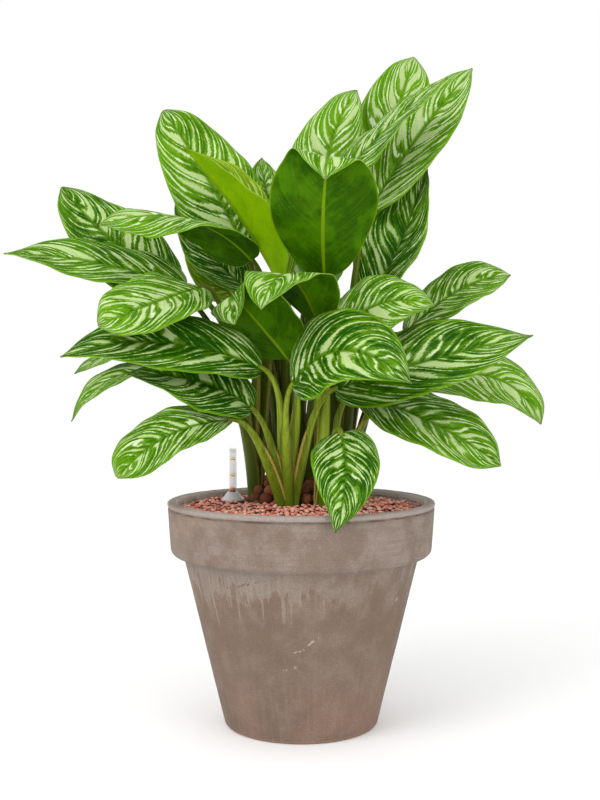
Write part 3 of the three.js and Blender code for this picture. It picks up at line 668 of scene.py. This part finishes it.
red_plastic, surface, fade, z = plastic("red_plastic", 300, 2, 0.3, 0.45)
link(surface, Base_Color=painted(mixed(z.ramp(0.2550, 0.2562), (178, 10, 12), (236, 120, 16)),
                                 (fade * 0.2, (130, 16, 10))))
indicator_piece("red_float", above(
    TUBE_BOTTOM_Z, (0, 0), (2.7, 0), (2.9, 1), (2.9, 39), (1.6, 41), (1.6, 138), (2.9, 138.6), (3.1, 139.2),
    (3.1, 143.4), (2.7, 144), (0, 144)), 24, red_plastic, "red_plastic", "indicator_float")

cap_plastic, surface, fade, _ = plastic("cap_plastic", 400, 2, 0.35, 0.5, Alpha=0.06)
link(surface, Base_Color=mixed(fade, (236, 236, 240), (248, 248, 250)))
indicator_piece("top_plug", above(
    TUBE_TOP_Z, (0, -5), (3.2, -5), (3.3, 0.1), (4.3, 0.2), (4.6, 0.5), (4.5, 1.2), (4.1, 1.5), (0, 1.5)),
    32, cap_plastic, "grey_plastic", "indicator_cap")

mark_ink, tree, surface = new_material("yellow_ink")
speck = cloud(object_place(tree), 1500, 2)
link(surface, Base_Color=mixed(speck.ramp(0.4, 0.6), (255, 206, 20), (255, 222, 80)))


def mark_mesh(bars):
    """Curved bars of ink on the tube's front. Each bar is (from angle, to angle, from z, to z)."""
    corners = []
    faces = []
    for start, end, low, high in bars:
        first = len(corners)
        for k in range(MARK_STEPS + 1):
            angle = math.radians(-90 + start + (end - start) * k / MARK_STEPS)
            for radius in (TUBE_RADIUS + 0.02, TUBE_RADIUS + 0.22):
                x, y = INDICATOR[0] + radius * math.cos(angle), INDICATOR[1] + radius * math.sin(angle)
                corners += [(x, y, low), (x, y, high)]
        last = first + 4 * MARK_STEPS
        for a in range(first, last, 4):
            faces += [(a + 2, a + 6, a + 7, a + 3), (a, a + 1, a + 5, a + 4),
                      (a + 1, a + 3, a + 7, a + 5), (a, a + 4, a + 6, a + 2)]
        faces += [(first, first + 2, first + 3, first + 1), (last, last + 1, last + 3, last + 2)]
    mesh = bpy.data.meshes.new("marks")
    mesh.from_pydata([Vector(corner) * MM for corner in corners], [], faces)
    return mesh


bars = []
for height in MARK_HEIGHTS:
    bars.append((-36, 36, height - 0.8, height + 0.8))
    bars += [(start, start + 14, height + 1.9, height + 3.1) for start in (-32, -8, 16)]
new_piece("indicator_marks", mark_mesh(bars), mark_ink, "clear_plastic")


# The shoots: six short canes, each in a fan of leaf stalks. A stalk clasps the cane with a channelled
# sheath, whose dry edges are straw-coloured, and rises slim and round to its blade.
# Each shoot has its foot, its sheaths' radius and how light its stalks are: those at the back are
# painted darker, as painted shade deep in the plant
SHOOTS = {"a": ((-15, 0), 7.0, 0.85), "b": ((22, 4), 7.0, 0.75), "c": ((-49, 35), 9.0, 0.1),
          "d": ((4, 48), 8.0, 0.15), "e": ((42, 40), 8.0, 0.15), "f": ((-14, 84), 9.0, 0.1)}
# How upright the stalks leave the pot, from 0, straight at the blade, to 1, and the longest bend before
# the blade, in millimetres and as a share of the way. Shoot c stands steeper, clear of the indicator
USUAL_RISE = 0.45, 42.0, 0.2
STEEP_RISE = {"c": (0.95, 60.0, 0.3)}
STALK_RADIUS = 2.8
STALK_STEPS = 26
STALK_HANDLE = 0.42
STALK_SIDES = 20
STALK_END = 5
BLADE_GAP = 0.75
SHEATH_FROM_Z = 232.0
SHEATH_SPREAD = 3.0
SHEATH_END = 0.55
SHEATH_SLOPE = 12
SHEATH_LIP_SLOPE = 45
CHANNEL_DEPTH = 0.75
EDGE_HEIGHT = 0.16
CANE_OUTLINE = [(0, 200), (7.0, 200), (8.4, 212), (8.6, 232), (7.6, 242), (5.4, 252), (2.6, 259), (0, 260)]

# Each leaf has its number and shoot, its midrib's base, middle and tip, its half width, the way its upper
# side faces, how it tapers, and where it isn't like most: its fold, twist and curl in degrees, arch, swell,
# roundness, the place its curl starts, its edge's wave, its tone (painted light and shade: a leaf in shade
# is darker, with less pale) and whether it is lime green all over
USUAL_LEAF = dict(fold=12, arch=0.15, twist=0, curl=0, curl_from=0.66, swell=0.78, roundness=0.62, wave=4.0,
                  tone=0.5, lime=False)
LEAVES = [
    (1, "c", (-65, 45, 536), (-112, 70, 625), (-164, 85, 703), 52, (0.1, -0.9, 0.45), -0.1),
    (2, "d", (-23, 16, 493), (-72, 10, 573), (-131, -10, 643), 50, (0.8, -0.2, 0.6), 0.6,
     dict(fold=56, arch=0.1, lime=True)),
    (3, "d", (26, 0, 501), (24, -48, 574), (33, -62, 657), 58, (0.05, 0.95, 0.3), 0.5,
     dict(fold=8, arch=0.1, curl=-155, curl_from=0.74, swell=1.1, roundness=0.45, wave=-6)),
    (4, "e", (28, 78, 563), (34, 95, 658), (67, 106, 732), 45, (-0.1, -0.9, 0.4), 0, dict(tone=0.75)),
    (5, "e", (85, 95, 593), (114, 115, 698), (138, 126, 777), 50, (0.05, -0.9, 0.4), -0.1, dict(tone=0.8)),
    (6, "e", (78, 25, 577), (134, 40, 663), (197, 48, 743), 40, (-0.2, -0.85, 0.4), 0.1,
     dict(fold=18, arch=0.1, swell=0.92, tone=0.75)),
    (7, "e", (78, 20, 471), (112, 30, 539), (145, 40, 626), 46, (-0.53, -0.8, 0.35), 0.3,
     dict(fold=30, arch=0.1, tone=0.1)),
    (8, "e", (121, 50, 439), (189, 70, 491), (250, 85, 508), 30, (-0.05, -0.8, 0.6), 0.1,
     dict(fold=15, arch=0.1, swell=1.15)),
    (9, "b", (35, -10, 434), (88, -38, 468), (143, -48, 464), 40, (-0.1, -0.8, 0.6), 0.1, dict(arch=0.2)),
    (10, "a", (-10, -50, 379), (43, -112, 416), (108, -158, 382), 52, (-0.35, -0.75, 0.55), 0.4,
     dict(twist=-10, tone=0.15)),
    (11, "a", (37, -20, 374), (139, -60, 407), (245, -70, 432), 47, (0, -0.8, 0.55), 0.35,
     dict(fold=15, tone=0.15)),
    (12, "b", (112, 15, 378), (214, 15, 388), (270, 5, 334), 38, (0.2, -0.75, 0.6), 0.2,
     dict(swell=1.1, tone=0.75)),
    (13, "b", (61, -10, 368), (138, -55, 340), (211, -75, 294), 42, (0.3, -0.75, 0.55), 0,
     dict(swell=1.05, tone=0.4)),
    (14, "b", (41, -95, 330), (44, -138, 285), (33, -156, 235), 34, (0, -0.9, 0.35), 0.5,
     dict(fold=10, swell=0.66, roundness=0.5, tone=0.15)),
    (15, "b", (21, -16, 445), (-14, -66, 496), (-41, -124, 457), 44, (0.05, 0, 1), 0.1,
     dict(fold=10, arch=0.1)),
    (16, "a", (-14, -16, 409), (-54, -38, 456), (-98, -48, 505), 50, (0.2, 0.6, 0.75), 0.2,
     dict(fold=10, arch=0.1, curl=-140, swell=0.9, roundness=0.5, tone=0.2)),
    (17, "c", (-112, 2, 488), (-156, -66, 467), (-210, -97, 441), 45, (0, -0.75, 0.65), -0.2,
     dict(fold=14, swell=1)),
    (18, "a", (-43, -30, 397), (-149, -72, 425), (-251, -90, 409), 43, (0, -0.75, 0.65), 0.25,
     dict(fold=16, tone=-0.1)),
    (19, "c", (-110, 30, 404), (-187, 25, 421), (-256, 10, 391), 29, (-0.1, -0.5, 0.85), 0.4),
    (20, "c", (-103, 15, 376), (-195, 0, 392), (-256, -10, 338), 24, (-0.3, -0.5, 0.8), 0.4, dict(fold=20)),
    (21, "a", (-53, -30, 352), (-109, -50, 383), (-186, -62, 391), 40, (-0.05, -0.7, 0.65), 0.4,
     dict(fold=14, tone=-0.1)),
    (22, "a", (-76, -50, 342), (-141, -85, 326), (-189, -105, 284), 32, (-0.15, -0.8, 0.6), 0,
     dict(fold=16, swell=1.35, roundness=0.5)),
    (23, "c", (-131, 25, 489), (-230, 8, 516), (-331, -5, 525), 35, (0, -0.7, 0.7), 0.35,
     dict(fold=16, tone=0.3)),
    (24, "c", (-143, 45, 488), (-219, 45, 545), (-278, 50, 607), 46, (0.1, -0.85, 0.5), 0, dict(tone=0.2)),
    (25, "c", (-56, 33, 521), (-128, -2, 564), (-221, -30, 553), 38, (0, -0.2, 1), 0.3,
     dict(fold=4, arch=0.4, twist=-120)),
    (26, "f", (-67, 70, 493), (-111, 85, 538), (-151, 95, 598), 28, (0.2, -0.85, 0.4), 0.2, dict(tone=0.1)),
    (27, "f", (-76, 90, 479), (-112, 102, 513), (-140, 110, 555), 24, (0.2, -0.85, 0.4), 0.3,
     dict(lime=True)),
    (28, "f", (-25, 80, 555), (-42, 95, 610), (-47, 102, 650), 26, (0.1, -0.9, 0.3), 0.1),
    (29, "e", (38, 20, 606), (98, 0, 667), (163, 8, 723), 28, (-0.5, -0.55, 0.65), 0.3,
     dict(fold=8, arch=0.1, twist=-30)),
    (30, "f", (5, 100, 479), (18, 170, 532), (32, 235, 567), 40, (0, -0.4, 0.9), 0.3, dict(fold=14)),
    (31, "f", (-47, 105, 474), (-102, 165, 519), (-145, 215, 536), 36, (-0.2, -0.5, 0.85), 0.3),
    (32, "e", (56, 95, 449), (106, 160, 488), (149, 215, 486), 38, (0.2, -0.4, 0.9), 0.3),
    (33, "f", (-74, 105, 419), (-134, 160, 439), (-196, 200, 431), 34, (-0.2, -0.4, 0.9), 0.3),
    (34, "e", (76, 85, 413), (148, 140, 430), (210, 180, 418), 34, (0.2, -0.4, 0.9), 0.3),
    (35, "e", (70, 80, 359), (129, 135, 343), (182, 165, 311), 30, (0.2, -0.4, 0.9), 0.1),
    (36, "f", (-91, 85, 377), (-135, 130, 390), (-168, 160, 377), 26, (-0.2, -0.4, 0.9), 0.1),
    (37, "f", (20, 90, 560), (29, 125, 615), (42, 140, 655), 34, (0, -0.85, 0.5), 0.1),
    (38, "f", (-74, 100, 545), (-106, 135, 611), (-132, 150, 669), 36, (0.1, -0.85, 0.5), 0.1),
    (39, "e", (102, 115, 553), (121, 150, 625), (147, 165, 690), 30, (0, -0.85, 0.5), 0.1),
]
CURL_SPAN = 0.14
MIDRIB_STEPS = 401


def unit(vectors):
    return vectors / np.linalg.norm(vectors, axis=-1, keepdims=True)


class Blade:
    """One leaf's blade: where its surface lies at t, from base to tip, and s, from -1 to 1 across."""

    def __init__(self, number, shoot, base, mid, tip, half, face, taper, bent=()):
        self.number, self.shoot, self.half, self.taper = number, shoot, half, taper
        self.base, self.tip, self.face = np.array(base, float), np.array(tip, float), np.array(face, float)
        self.control = 2 * np.array(mid, float) - (self.base + self.tip) / 2
        vars(self).update(USUAL_LEAF | dict(bent))
        self.fold, self.twist, self.curl = map(math.radians, (self.fold, self.twist, self.curl))
        self.steps = np.linspace(0, 1, MIDRIB_STEPS)
        line = self.on_curve(self.steps[:, None])
        self.reach = np.concatenate([[0], np.cumsum(np.linalg.norm(np.diff(line, axis=0), axis=1))])
        self.length = self.reach[-1]

    def on_curve(self, u):
        return (1 - u) ** 2 * self.base + 2 * u * (1 - u) * self.control + u * u * self.tip

    def frame(self, t):
        """The midrib's place, and the ways along it, across it and out of its upper side."""
        start = np.minimum(t, self.curl_from) if self.curl else t
        u = np.interp(start * self.length, self.reach, self.steps)[:, None]
        place = self.on_curve(u)
        along = unit((1 - u) * (self.control - self.base) + u * (self.tip - self.control))
        angle = (self.twist * (start - 0.5))[:, None]
        face = np.broadcast_to(self.face, along.shape)
        face = (face * np.cos(angle) + np.cross(along, face) * np.sin(angle)
                + along * (along @ self.face)[:, None] * (1 - np.cos(angle)))
        normal = unit(face - along * np.sum(face * along, axis=1, keepdims=True))
        side = np.cross(along, normal)
        if self.curl:
            bend = (self.curl * np.clip((t - self.curl_from) / CURL_SPAN, 0, 1))[:, None]
            beyond = (self.length * np.maximum(t - self.curl_from - CURL_SPAN, 0))[:, None]
            radius = self.length * CURL_SPAN / self.curl
            place = place + along * (radius * np.sin(bend) + beyond * np.cos(bend))
            place = place + normal * (radius * (1 - np.cos(bend)) + beyond * np.sin(bend))
            normal = normal * np.cos(bend) - along * np.sin(bend)
        return place, along, side, normal


BLADES = [Blade(*leaf) for leaf in LEAVES]


def stalk_line(blade):
    """A stalk's middle line from the cane to just inside its blade, in millimetres."""
    place, along, _, _ = (rows[0] for rows in blade.frame(np.zeros(1)))
    start = np.array([*SHOOTS[blade.shoot][0], SHEATH_FROM_Z])
    end = place - BLADE_GAP * along
    start[:2] += SHEATH_SPREAD * unit((end - start)[:2])
    reach = np.linalg.norm(end - start)
    upright, longest_bend, bend_share = STEEP_RISE.get(blade.shoot, USUAL_RISE)
    lean = unit((1 - upright) * unit(end - start) + upright * np.array([0, 0, 1.0]))
    bend = min(longest_bend, reach * bend_share)
    handles = start, start + lean * reach * STALK_HANDLE, end - along * bend, end
    t = np.linspace(0, 1, STALK_STEPS)[:, None]
    weights = (1 - t) ** 3, 3 * t * (1 - t) ** 2, 3 * t * t * (1 - t), t ** 3
    line = sum(weight * handle for weight, handle in zip(weights, handles))
    return np.vstack([line, end + along * STALK_END])


def stalk_lines_mesh(foot, sheath_radius, light, blades):
    """The middle lines of a shoot's stalks, with what the sweeping tree reads at each point."""
    places, edges, inner, radii, sheaths, tones = [], [], [], [], [], []
    for blade in blades:
        line = stalk_line(blade)
        count = len(line)
        edges += [(len(places) + k, len(places) + k + 1) for k in range(count - 1)]
        t = np.minimum(np.arange(count) / (count - 2), 1)
        inward = np.array([*foot, 0.0]) - line
        inward[:, 2] = 0
        if np.linalg.norm(inward[-1]) < 1:
            inward[:] = (0, 1, 0)
        inward = unit(inward + 1e-3 * np.array([0.3, 1, 0]))
        inner += [tuple(unit(np.mean(inward[len(inward) // 3:], axis=0)))] * count
        swell = (sheath_radius - STALK_RADIUS) / (1 + np.exp((t - SHEATH_END) * SHEATH_SLOPE))
        radii += list((STALK_RADIUS + swell) * MM)
        sheath_end = SHEATH_END + 0.04 * math.sin(blade.number * 1.7)
        sheaths += list(1 / (1 + np.exp((t - sheath_end) * SHEATH_LIP_SLOPE)))
        tones += [light + 0.15 * math.sin(blade.number * 2.3)] * count
        places += [tuple(point * MM) for point in line]
    mesh = bpy.data.meshes.new("stalk_lines")
    mesh.from_pydata(places, edges, [])
    marks = {"centre": places, "inner": inner, "thick": radii, "sheath": sheaths, "tone": tones}
    for name, values in marks.items():
        mark_corners(mesh, name, values)
    return mesh


# The tree that sweeps a stalk along each line, hollows its sheath on the inner side and raises the
# sheath's two edges
swept, given, result = new_group("sheathing_stalk", "Geometry", {
    "Lines": "Geometry", "Sides": "Int", "Channel Depth": "Float", "Edge Height": "Float",
    "Finish": "Material"}, {"Stalks": "Geometry"})
thick = named(swept, "thick")
ring = wired(swept, "GeometryNodeCurvePrimitiveCircle", {"Resolution": given["Sides"], "Radius": 1.0})
curve = wired(swept, "GeometryNodeMeshToCurve", {0: given["Lines"]})
sweep = wired(swept, "GeometryNodeCurveToMesh", {
    "Curve": curve, "Profile Curve": ring, "Scale": thick, "Fill Caps": True})
spot = wired(swept, "GeometryNodeInputPosition")
outward = spot.vector_math("SUBTRACT", named(swept, "centre", "FLOAT_VECTOR")).vector_math("NORMALIZE")
facing = outward.vector_math("DOT_PRODUCT", named(swept, "inner", "FLOAT_VECTOR"), output="Value")
sheath = named(swept, "sheath")
channel = facing.ramp(0.30, 0.80) * sheath
edge = facing.ramp(-0.34, -0.08) * facing.ramp(0.30, 0.50, 1, 0) * sheath
# The flanks, stored for painted shade on the stalks' sides
flank_shade = facing.ramp(-0.92, -0.45) * facing.ramp(0.2, 0.6, 1, 0.4)
rise = (edge * given["Edge Height"] - channel * given["Channel Depth"]) * thick
stalk = moved(sweep, Offset=scaled(outward, rise))
end_tree(smoothed(stored(stored(stalk, "edge", edge), "flank_shade", flank_shade)), given, result)

stalk_skin, tree, surface = new_material("leaf_stalk", Specular_IOR_Level=0.15)
place = object_place(tree)
x, y, z = parts_of(place)
fibre = cloud(vector(x * 420, y * 420, z * 14), 1, 3, 0.6)
flecks = cloud(place, 900, 2, 0.6)
tone = attribute(tree, "tone")
dry = attribute(tree, "edge").ramp(0.5, 0.85) * tone.ramp(0.2, 0.7, 0.25, 1)
# The tone paints shade on the stalks: those of the shoots at the back are darker
colour = painted(
    mixed(tone, (44, 56, 4), (172, 194, 50)),
    # Darker low down: painted shade under the leaves
    (z.ramp(0.245, 0.330, 0.7, 0), mixed(tone, (26, 34, 2), (84, 112, 6))),
    # Darker flanks: painted shade on the stalks' sides
    (attribute(tree, "flank_shade") * fibre.ramp(0.3, 0.6, 0.75, 0.45), (44, 58, 2)),
    (fibre.ramp(0.40, 0.62, 0.35, 0), (76, 98, 6)),
    (flecks.ramp(0.62, 0.70) * tone * 0.35, (184, 198, 92)),
    (dry * 0.9, mixed(flecks.ramp(0.4, 0.62), (212, 184, 100), (176, 136, 66))))
link(surface, Base_Color=colour, Normal=bump(fibre, 0.0005, 0.5), Roughness=dry.ramp(0, 1, 0.40, 0.75))

for key, (foot, sheath_radius, light) in SHOOTS.items():
    blades = [blade for blade in BLADES if blade.shoot == key]
    stalks = grown(stalk_lines_mesh(foot, sheath_radius, light, blades), swept, {
        "Sides": STALK_SIDES, "Channel Depth": CHANNEL_DEPTH, "Edge Height": EDGE_HEIGHT,
        "Finish": stalk_skin})
    cane = turned_mesh(CANE_OUTLINE, STALK_SIDES, foot)
    cane.materials.append(stalk_skin)
    new_piece("stalks_" + key, joined(cane, stalks), None, "leaf_stalk", "shoot_" + key)


# The leaf blades: thin, firm and a little waved along the edge, with a sunk midrib. Pale feathers and
# threads of green follow the side veins out of the dark middle, and the underside is plain green.
BLADE_ROWS = 84
BLADE_COLUMNS = 26
MARGIN_WAVES = 1.6
FINE_WAVE = 0.9
FINE_WAVES = 5.3
BLADE_THICKNESS = 0.9
MIDRIB_THICKNESS = 2.2
GULLY_DEPTH = 0.9
GULLY_WIDTH = 2.2
MIDRIB_WIDTH = 3.4
VEIN_COUNT = 13.0
VEIN_HEIGHT = 0.28
VEIN_LEAN = 0.22
VEIN_BEND = 0.17
RIPPLE_COUNT = 26


def blade_sheet(blade):
    """The blade's upper surface as a sheet with its marks stored, and its thickness at each corner."""
    u = np.linspace(0, 1, BLADE_ROWS)
    t = (u + (1 - np.cos(math.pi * u)) / 2) / 2
    s = np.linspace(-1, 1, BLADE_COLUMNS + 1)
    place, along, side, normal = blade.frame(t)
    outline = np.sin(math.pi * np.minimum(t, 1 - 1e-9) ** blade.swell) ** (blade.roundness + blade.taper * t)
    point = 1 - 0.5 * np.clip((t - 0.9) / 0.1, 0, 1) ** 2
    width = blade.half * outline * point + STALK_RADIUS * (1 - t) ** 2 + 0.4
    t2, s2 = np.meshgrid(t, s, indexing="ij")
    w2, o2 = width[:, None], outline[:, None]
    phase = blade.number * 2.4 + np.where(s2 > 0, 2.0, 0.0)
    wave = blade.wave * np.sqrt(o2) * s2 ** 2 * np.sin(2 * math.pi * MARGIN_WAVES * t2 + phase)
    wave = wave + FINE_WAVE * np.sqrt(o2) * s2 ** 4 * np.sin(2 * math.pi * FINE_WAVES * t2 + 2.3 * phase)
    gully = GULLY_DEPTH * np.exp(-((w2 * s2 / GULLY_WIDTH) ** 2)) * np.minimum(1, 8 * (1 - t2))
    rise = w2 * (np.abs(s2) * math.sin(blade.fold) - blade.arch * s2 ** 2) + wave - gully
    across = w2 * s2 * math.cos(blade.fold)
    spots = place[:, None] + side[:, None] * across[..., None] + normal[:, None] * rise[..., None]
    columns = len(s)
    faces = [(i * columns + j, i * columns + j + 1, (i + 1) * columns + j + 1, (i + 1) * columns + j)
             for i in range(BLADE_ROWS - 1) for j in range(columns - 1)]
    mesh = bpy.data.meshes.new("blade")
    mesh.from_pydata((spots.reshape(-1, 3) * MM).tolist(), [], faces)
    mark_corners(mesh, "tone", [blade.tone] * t2.size)
    mark_corners(mesh, "blade", np.stack([t2, s2, np.full_like(t2, blade.number)], axis=-1).reshape(-1, 3))
    rib = np.exp(-((w2 * s2 / MIDRIB_WIDTH) ** 2)) * (1 - t2) ** 1.4
    thick = (BLADE_THICKNESS + MIDRIB_THICKNESS * rib) / (BLADE_THICKNESS + MIDRIB_THICKNESS)
    return mesh, thick.ravel()


def thickened(holder, thick):
    """Gives a blade its thickness under the sheet, from a share of the thickest at each corner."""
    group = holder.vertex_groups.new(name="thickness")
    for corner, share in enumerate(thick):
        group.add([corner], float(share), "REPLACE")
    skin = holder.modifiers.new("thickness", "SOLIDIFY")
    skin.thickness = (BLADE_THICKNESS + MIDRIB_THICKNESS) * MM
    skin.offset = -1
    skin.vertex_group = "thickness"
    skin.material_offset = 1
    skin.material_offset_rim = 2


def vein_number(t, s):
    """Which side vein a point is on, from 0 at the base to 1 at the tip."""
    across = abs(s)
    return t - across * VEIN_LEAN - (across ** 3) * VEIN_BEND


# The tree that raises the side veins: low ridges that leave the midrib and bend forward to the tip
veined, given, result = new_group("side_veins", "Geometry", {
    "Blade": "Geometry", "Vein Count": "Float", "Vein Height": "Float", "Finish": "Material"},
    {"Blade": "Geometry"})
t, s, _ = parts_of(named(veined, "blade", "FLOAT_VECTOR"))
across = abs(s)
swell = (vein_number(t, s) * given["Vein Count"] * (2 * math.pi)).math("SINE")
height = swell * across.ramp(0.03, 0.2) * across.ramp(0.7, 1.0, 1, 0.2) * given["Vein Height"]
raised = moved(given["Blade"], Offset=scaled(wired(veined, "GeometryNodeInputNormal"), height))
end_tree(smoothed(raised), given, result)

# The leaf's own marking, for both its faces: where its feathers, the threads between them, the halo
# round both, and its mottling, veins and midrib lie
MARKS = ("Feather", "Thread", "Halo", "Mottle", "Across", "Vein", "Along")
marking, given, result = new_group(
    "leaf_marking", "Shader", {"Feather Width": "Float"}, dict.fromkeys(MARKS, "Float"))
t, s, seed = parts_of(attribute(marking, "blade", "Vector"))
across = abs(s)
left = s.math("SIGN") * 3.7
vein = vein_number(t, s)


def tear(x, y, z, detail=1, roughness=0.5):
    """Noise about 0, which tears the stripes."""
    return cloud(vector(x, y, z), 1, detail, roughness) - 0.5


torn = tear(vein * 42, across * 16 + left, seed, 3, 0.72)
sway = tear(vein * 6 + left, across * 1.2, seed * 1.7)
thin = tear(vein * 44 + seed * 3.1, left + across * 2, seed + 9)
broken = tear(vein * 8 + left, across * 3.5, seed + 40)
ragged = tear(vein * 70, across * 46 + left, seed + 3, 2, 0.6)
stripe = vein * 7.9 + sway * 1.6 + seed * 0.37 + left
off = abs(stripe.math("FRACT") - 0.5) * 2
chance = wired(marking, "ShaderNodeTexWhiteNoise", {
    "Vector": vector(stripe.math("FLOOR"), left, seed)}, "Value")
# A leaf whose tone is lighter gets wider feathers: part of the painted light and shade
lighter = (attribute(marking, "tone") - 0.4) * 0.25
breadth = (chance * 0.50 + 0.06 + given["Feather Width"] + lighter) * across.ramp(0.2, 0.9, 1, 0.35)
band = breadth + torn * 0.66 + broken * 0.7 + ragged * 0.55 - off
line = torn * 0.40 + broken * 0.6 + ragged * 0.30 + lighter * 0.4 + off - 0.93
inland = across.ramp(0.03, 0.10) * across.ramp(0.965, 0.99, 1, 0)
link(result, Feather=band.ramp(-0.03, 0.05) * inland, Thread=line.ramp(-0.02, 0.05) * inland,
     Halo=band.ramp(-0.34, 0.0).math("MAXIMUM", line.ramp(-0.20, 0.0)),
     Mottle=(torn * 0.8 + thin * 1.4 + broken * 0.6).ramp(-0.30, 0.30), Across=across, Vein=vein, Along=t)


def leaf_marks(tree, feather_width=0.0):
    made = add_node(tree, "ShaderNodeGroup", {"Feather Width": feather_width}, node_tree=marking)
    return [Wire(tree, made.outputs[name]) for name in MARKS]


def upper_side(name, dark, green, milky, pale, whitest, edge, feather_width):
    """The striped upper side, from its greens, its feathers' and threads' pale colours and its edge."""
    material, tree, surface = new_material(name, Specular_IOR_Level=0.06)
    feather, thread, halo, mottle, across, vein, along = leaf_marks(tree, feather_width)
    # The leaf's tone paints light and shade on it, under its blotches and its lighter tip
    tone = attribute(tree, "tone")
    light = tone + cloud(object_place(tree), 14, 2).ramp(0.35, 0.65, -0.15, 0.15)
    light = light + along.ramp(0.2, 1.0, -0.08, 0.22)
    colour = painted(
        mixed(mottle * 0.7 + light - 0.28, dark, green),
        (across.ramp(0.0, 0.10, 0.4, 0), dark),
        (halo * 0.34, milky),
        (feather, mixed(mottle * 0.35, pale, milky)),
        (thread * 0.9, mixed(tone * 0.3 + 0.3, pale, whitest)),
        (across.ramp(0.90, 0.98) * 0.6, edge),
        (along.ramp(0.985, 1.0) * 0.8, (176, 158, 70)))
    ripple = (vein * (2 * math.pi * RIPPLE_COUNT)).math("SINE") * 0.3 + mottle * 0.3
    link(surface, Base_Color=colour, Normal=bump(ripple, 0.0005, 0.6),
         Roughness=feather.ramp(0, 1, 0.42, 0.52))
    return material


def under_side(name, green, dull, rib):
    """The plain underside, with a raised pale midrib and faint side veins."""
    material, tree, surface = new_material(name, Specular_IOR_Level=0.04)
    _, _, _, mottle, across, vein, along = leaf_marks(tree)
    place = object_place(tree)
    ribs = (vein * (2 * math.pi * VEIN_COUNT)).math("SINE").ramp(0.80, 1.0)
    colour = painted(
        mixed(cloud(place, 26, 3, 0.6).ramp(0.40, 0.60), green, dull),
        (mottle * 0.12, rib),
        (cloud(place, 700, 2).ramp(0.66, 0.72) * 0.5, rib),
        (ribs * across.ramp(0.85, 1.0, 0.05, 0), rib),
        ((across * along.ramp(0.0, 1.0, 1.0, 2.2)).ramp(0.026, 0.060, 0.85, 0), rib),
        (across.ramp(0.965, 0.99) * 0.6, rib))
    link(surface, Base_Color=colour, Normal=bump(ribs * 0.2 + mottle * 0.2, 0.0005, 0.6),
         Roughness=mottle.ramp(0, 1, 0.42, 0.55))
    return material


leaf_edge, tree, surface = new_material("leaf_edge")
link(surface, Base_Color=mixed(leaf_marks(tree)[3], (104, 150, 16), (140, 180, 50)))
LEAF_FINISHES = {
    "striped_leaf": (
        upper_side("striped_upper_side", (24, 74, 0), (90, 143, 0), (128, 172, 34), (184, 203, 146),
                   (232, 242, 208), (112, 160, 14), 0.0),
        under_side("green_under_side", (36, 80, 0), (60, 108, 0), (118, 152, 10)), leaf_edge),
    "lime_leaf": (
        upper_side("lime_upper_side", (92, 136, 0), (128, 166, 4), (158, 188, 50), (194, 214, 104),
                   (206, 222, 130), (160, 190, 40), -0.06),
        under_side("lime_under_side", (108, 152, 0), (126, 168, 0), (156, 188, 30)), leaf_edge),
}

for blade in BLADES:
    sheet, thick = blade_sheet(blade)
    slot = "lime_leaf" if blade.lime else "striped_leaf"
    for finish in LEAF_FINISHES[slot]:
        sheet.materials.append(finish)
    number = f"{blade.number:02d}"
    made = grown(sheet, veined, {
        "Vein Count": VEIN_COUNT, "Vein Height": VEIN_HEIGHT * MM, "Finish": LEAF_FINISHES[slot][0]},
        lambda holder: thickened(holder, thick))
    new_piece("blade_" + number, made, None, slot, "leaf_" + number)
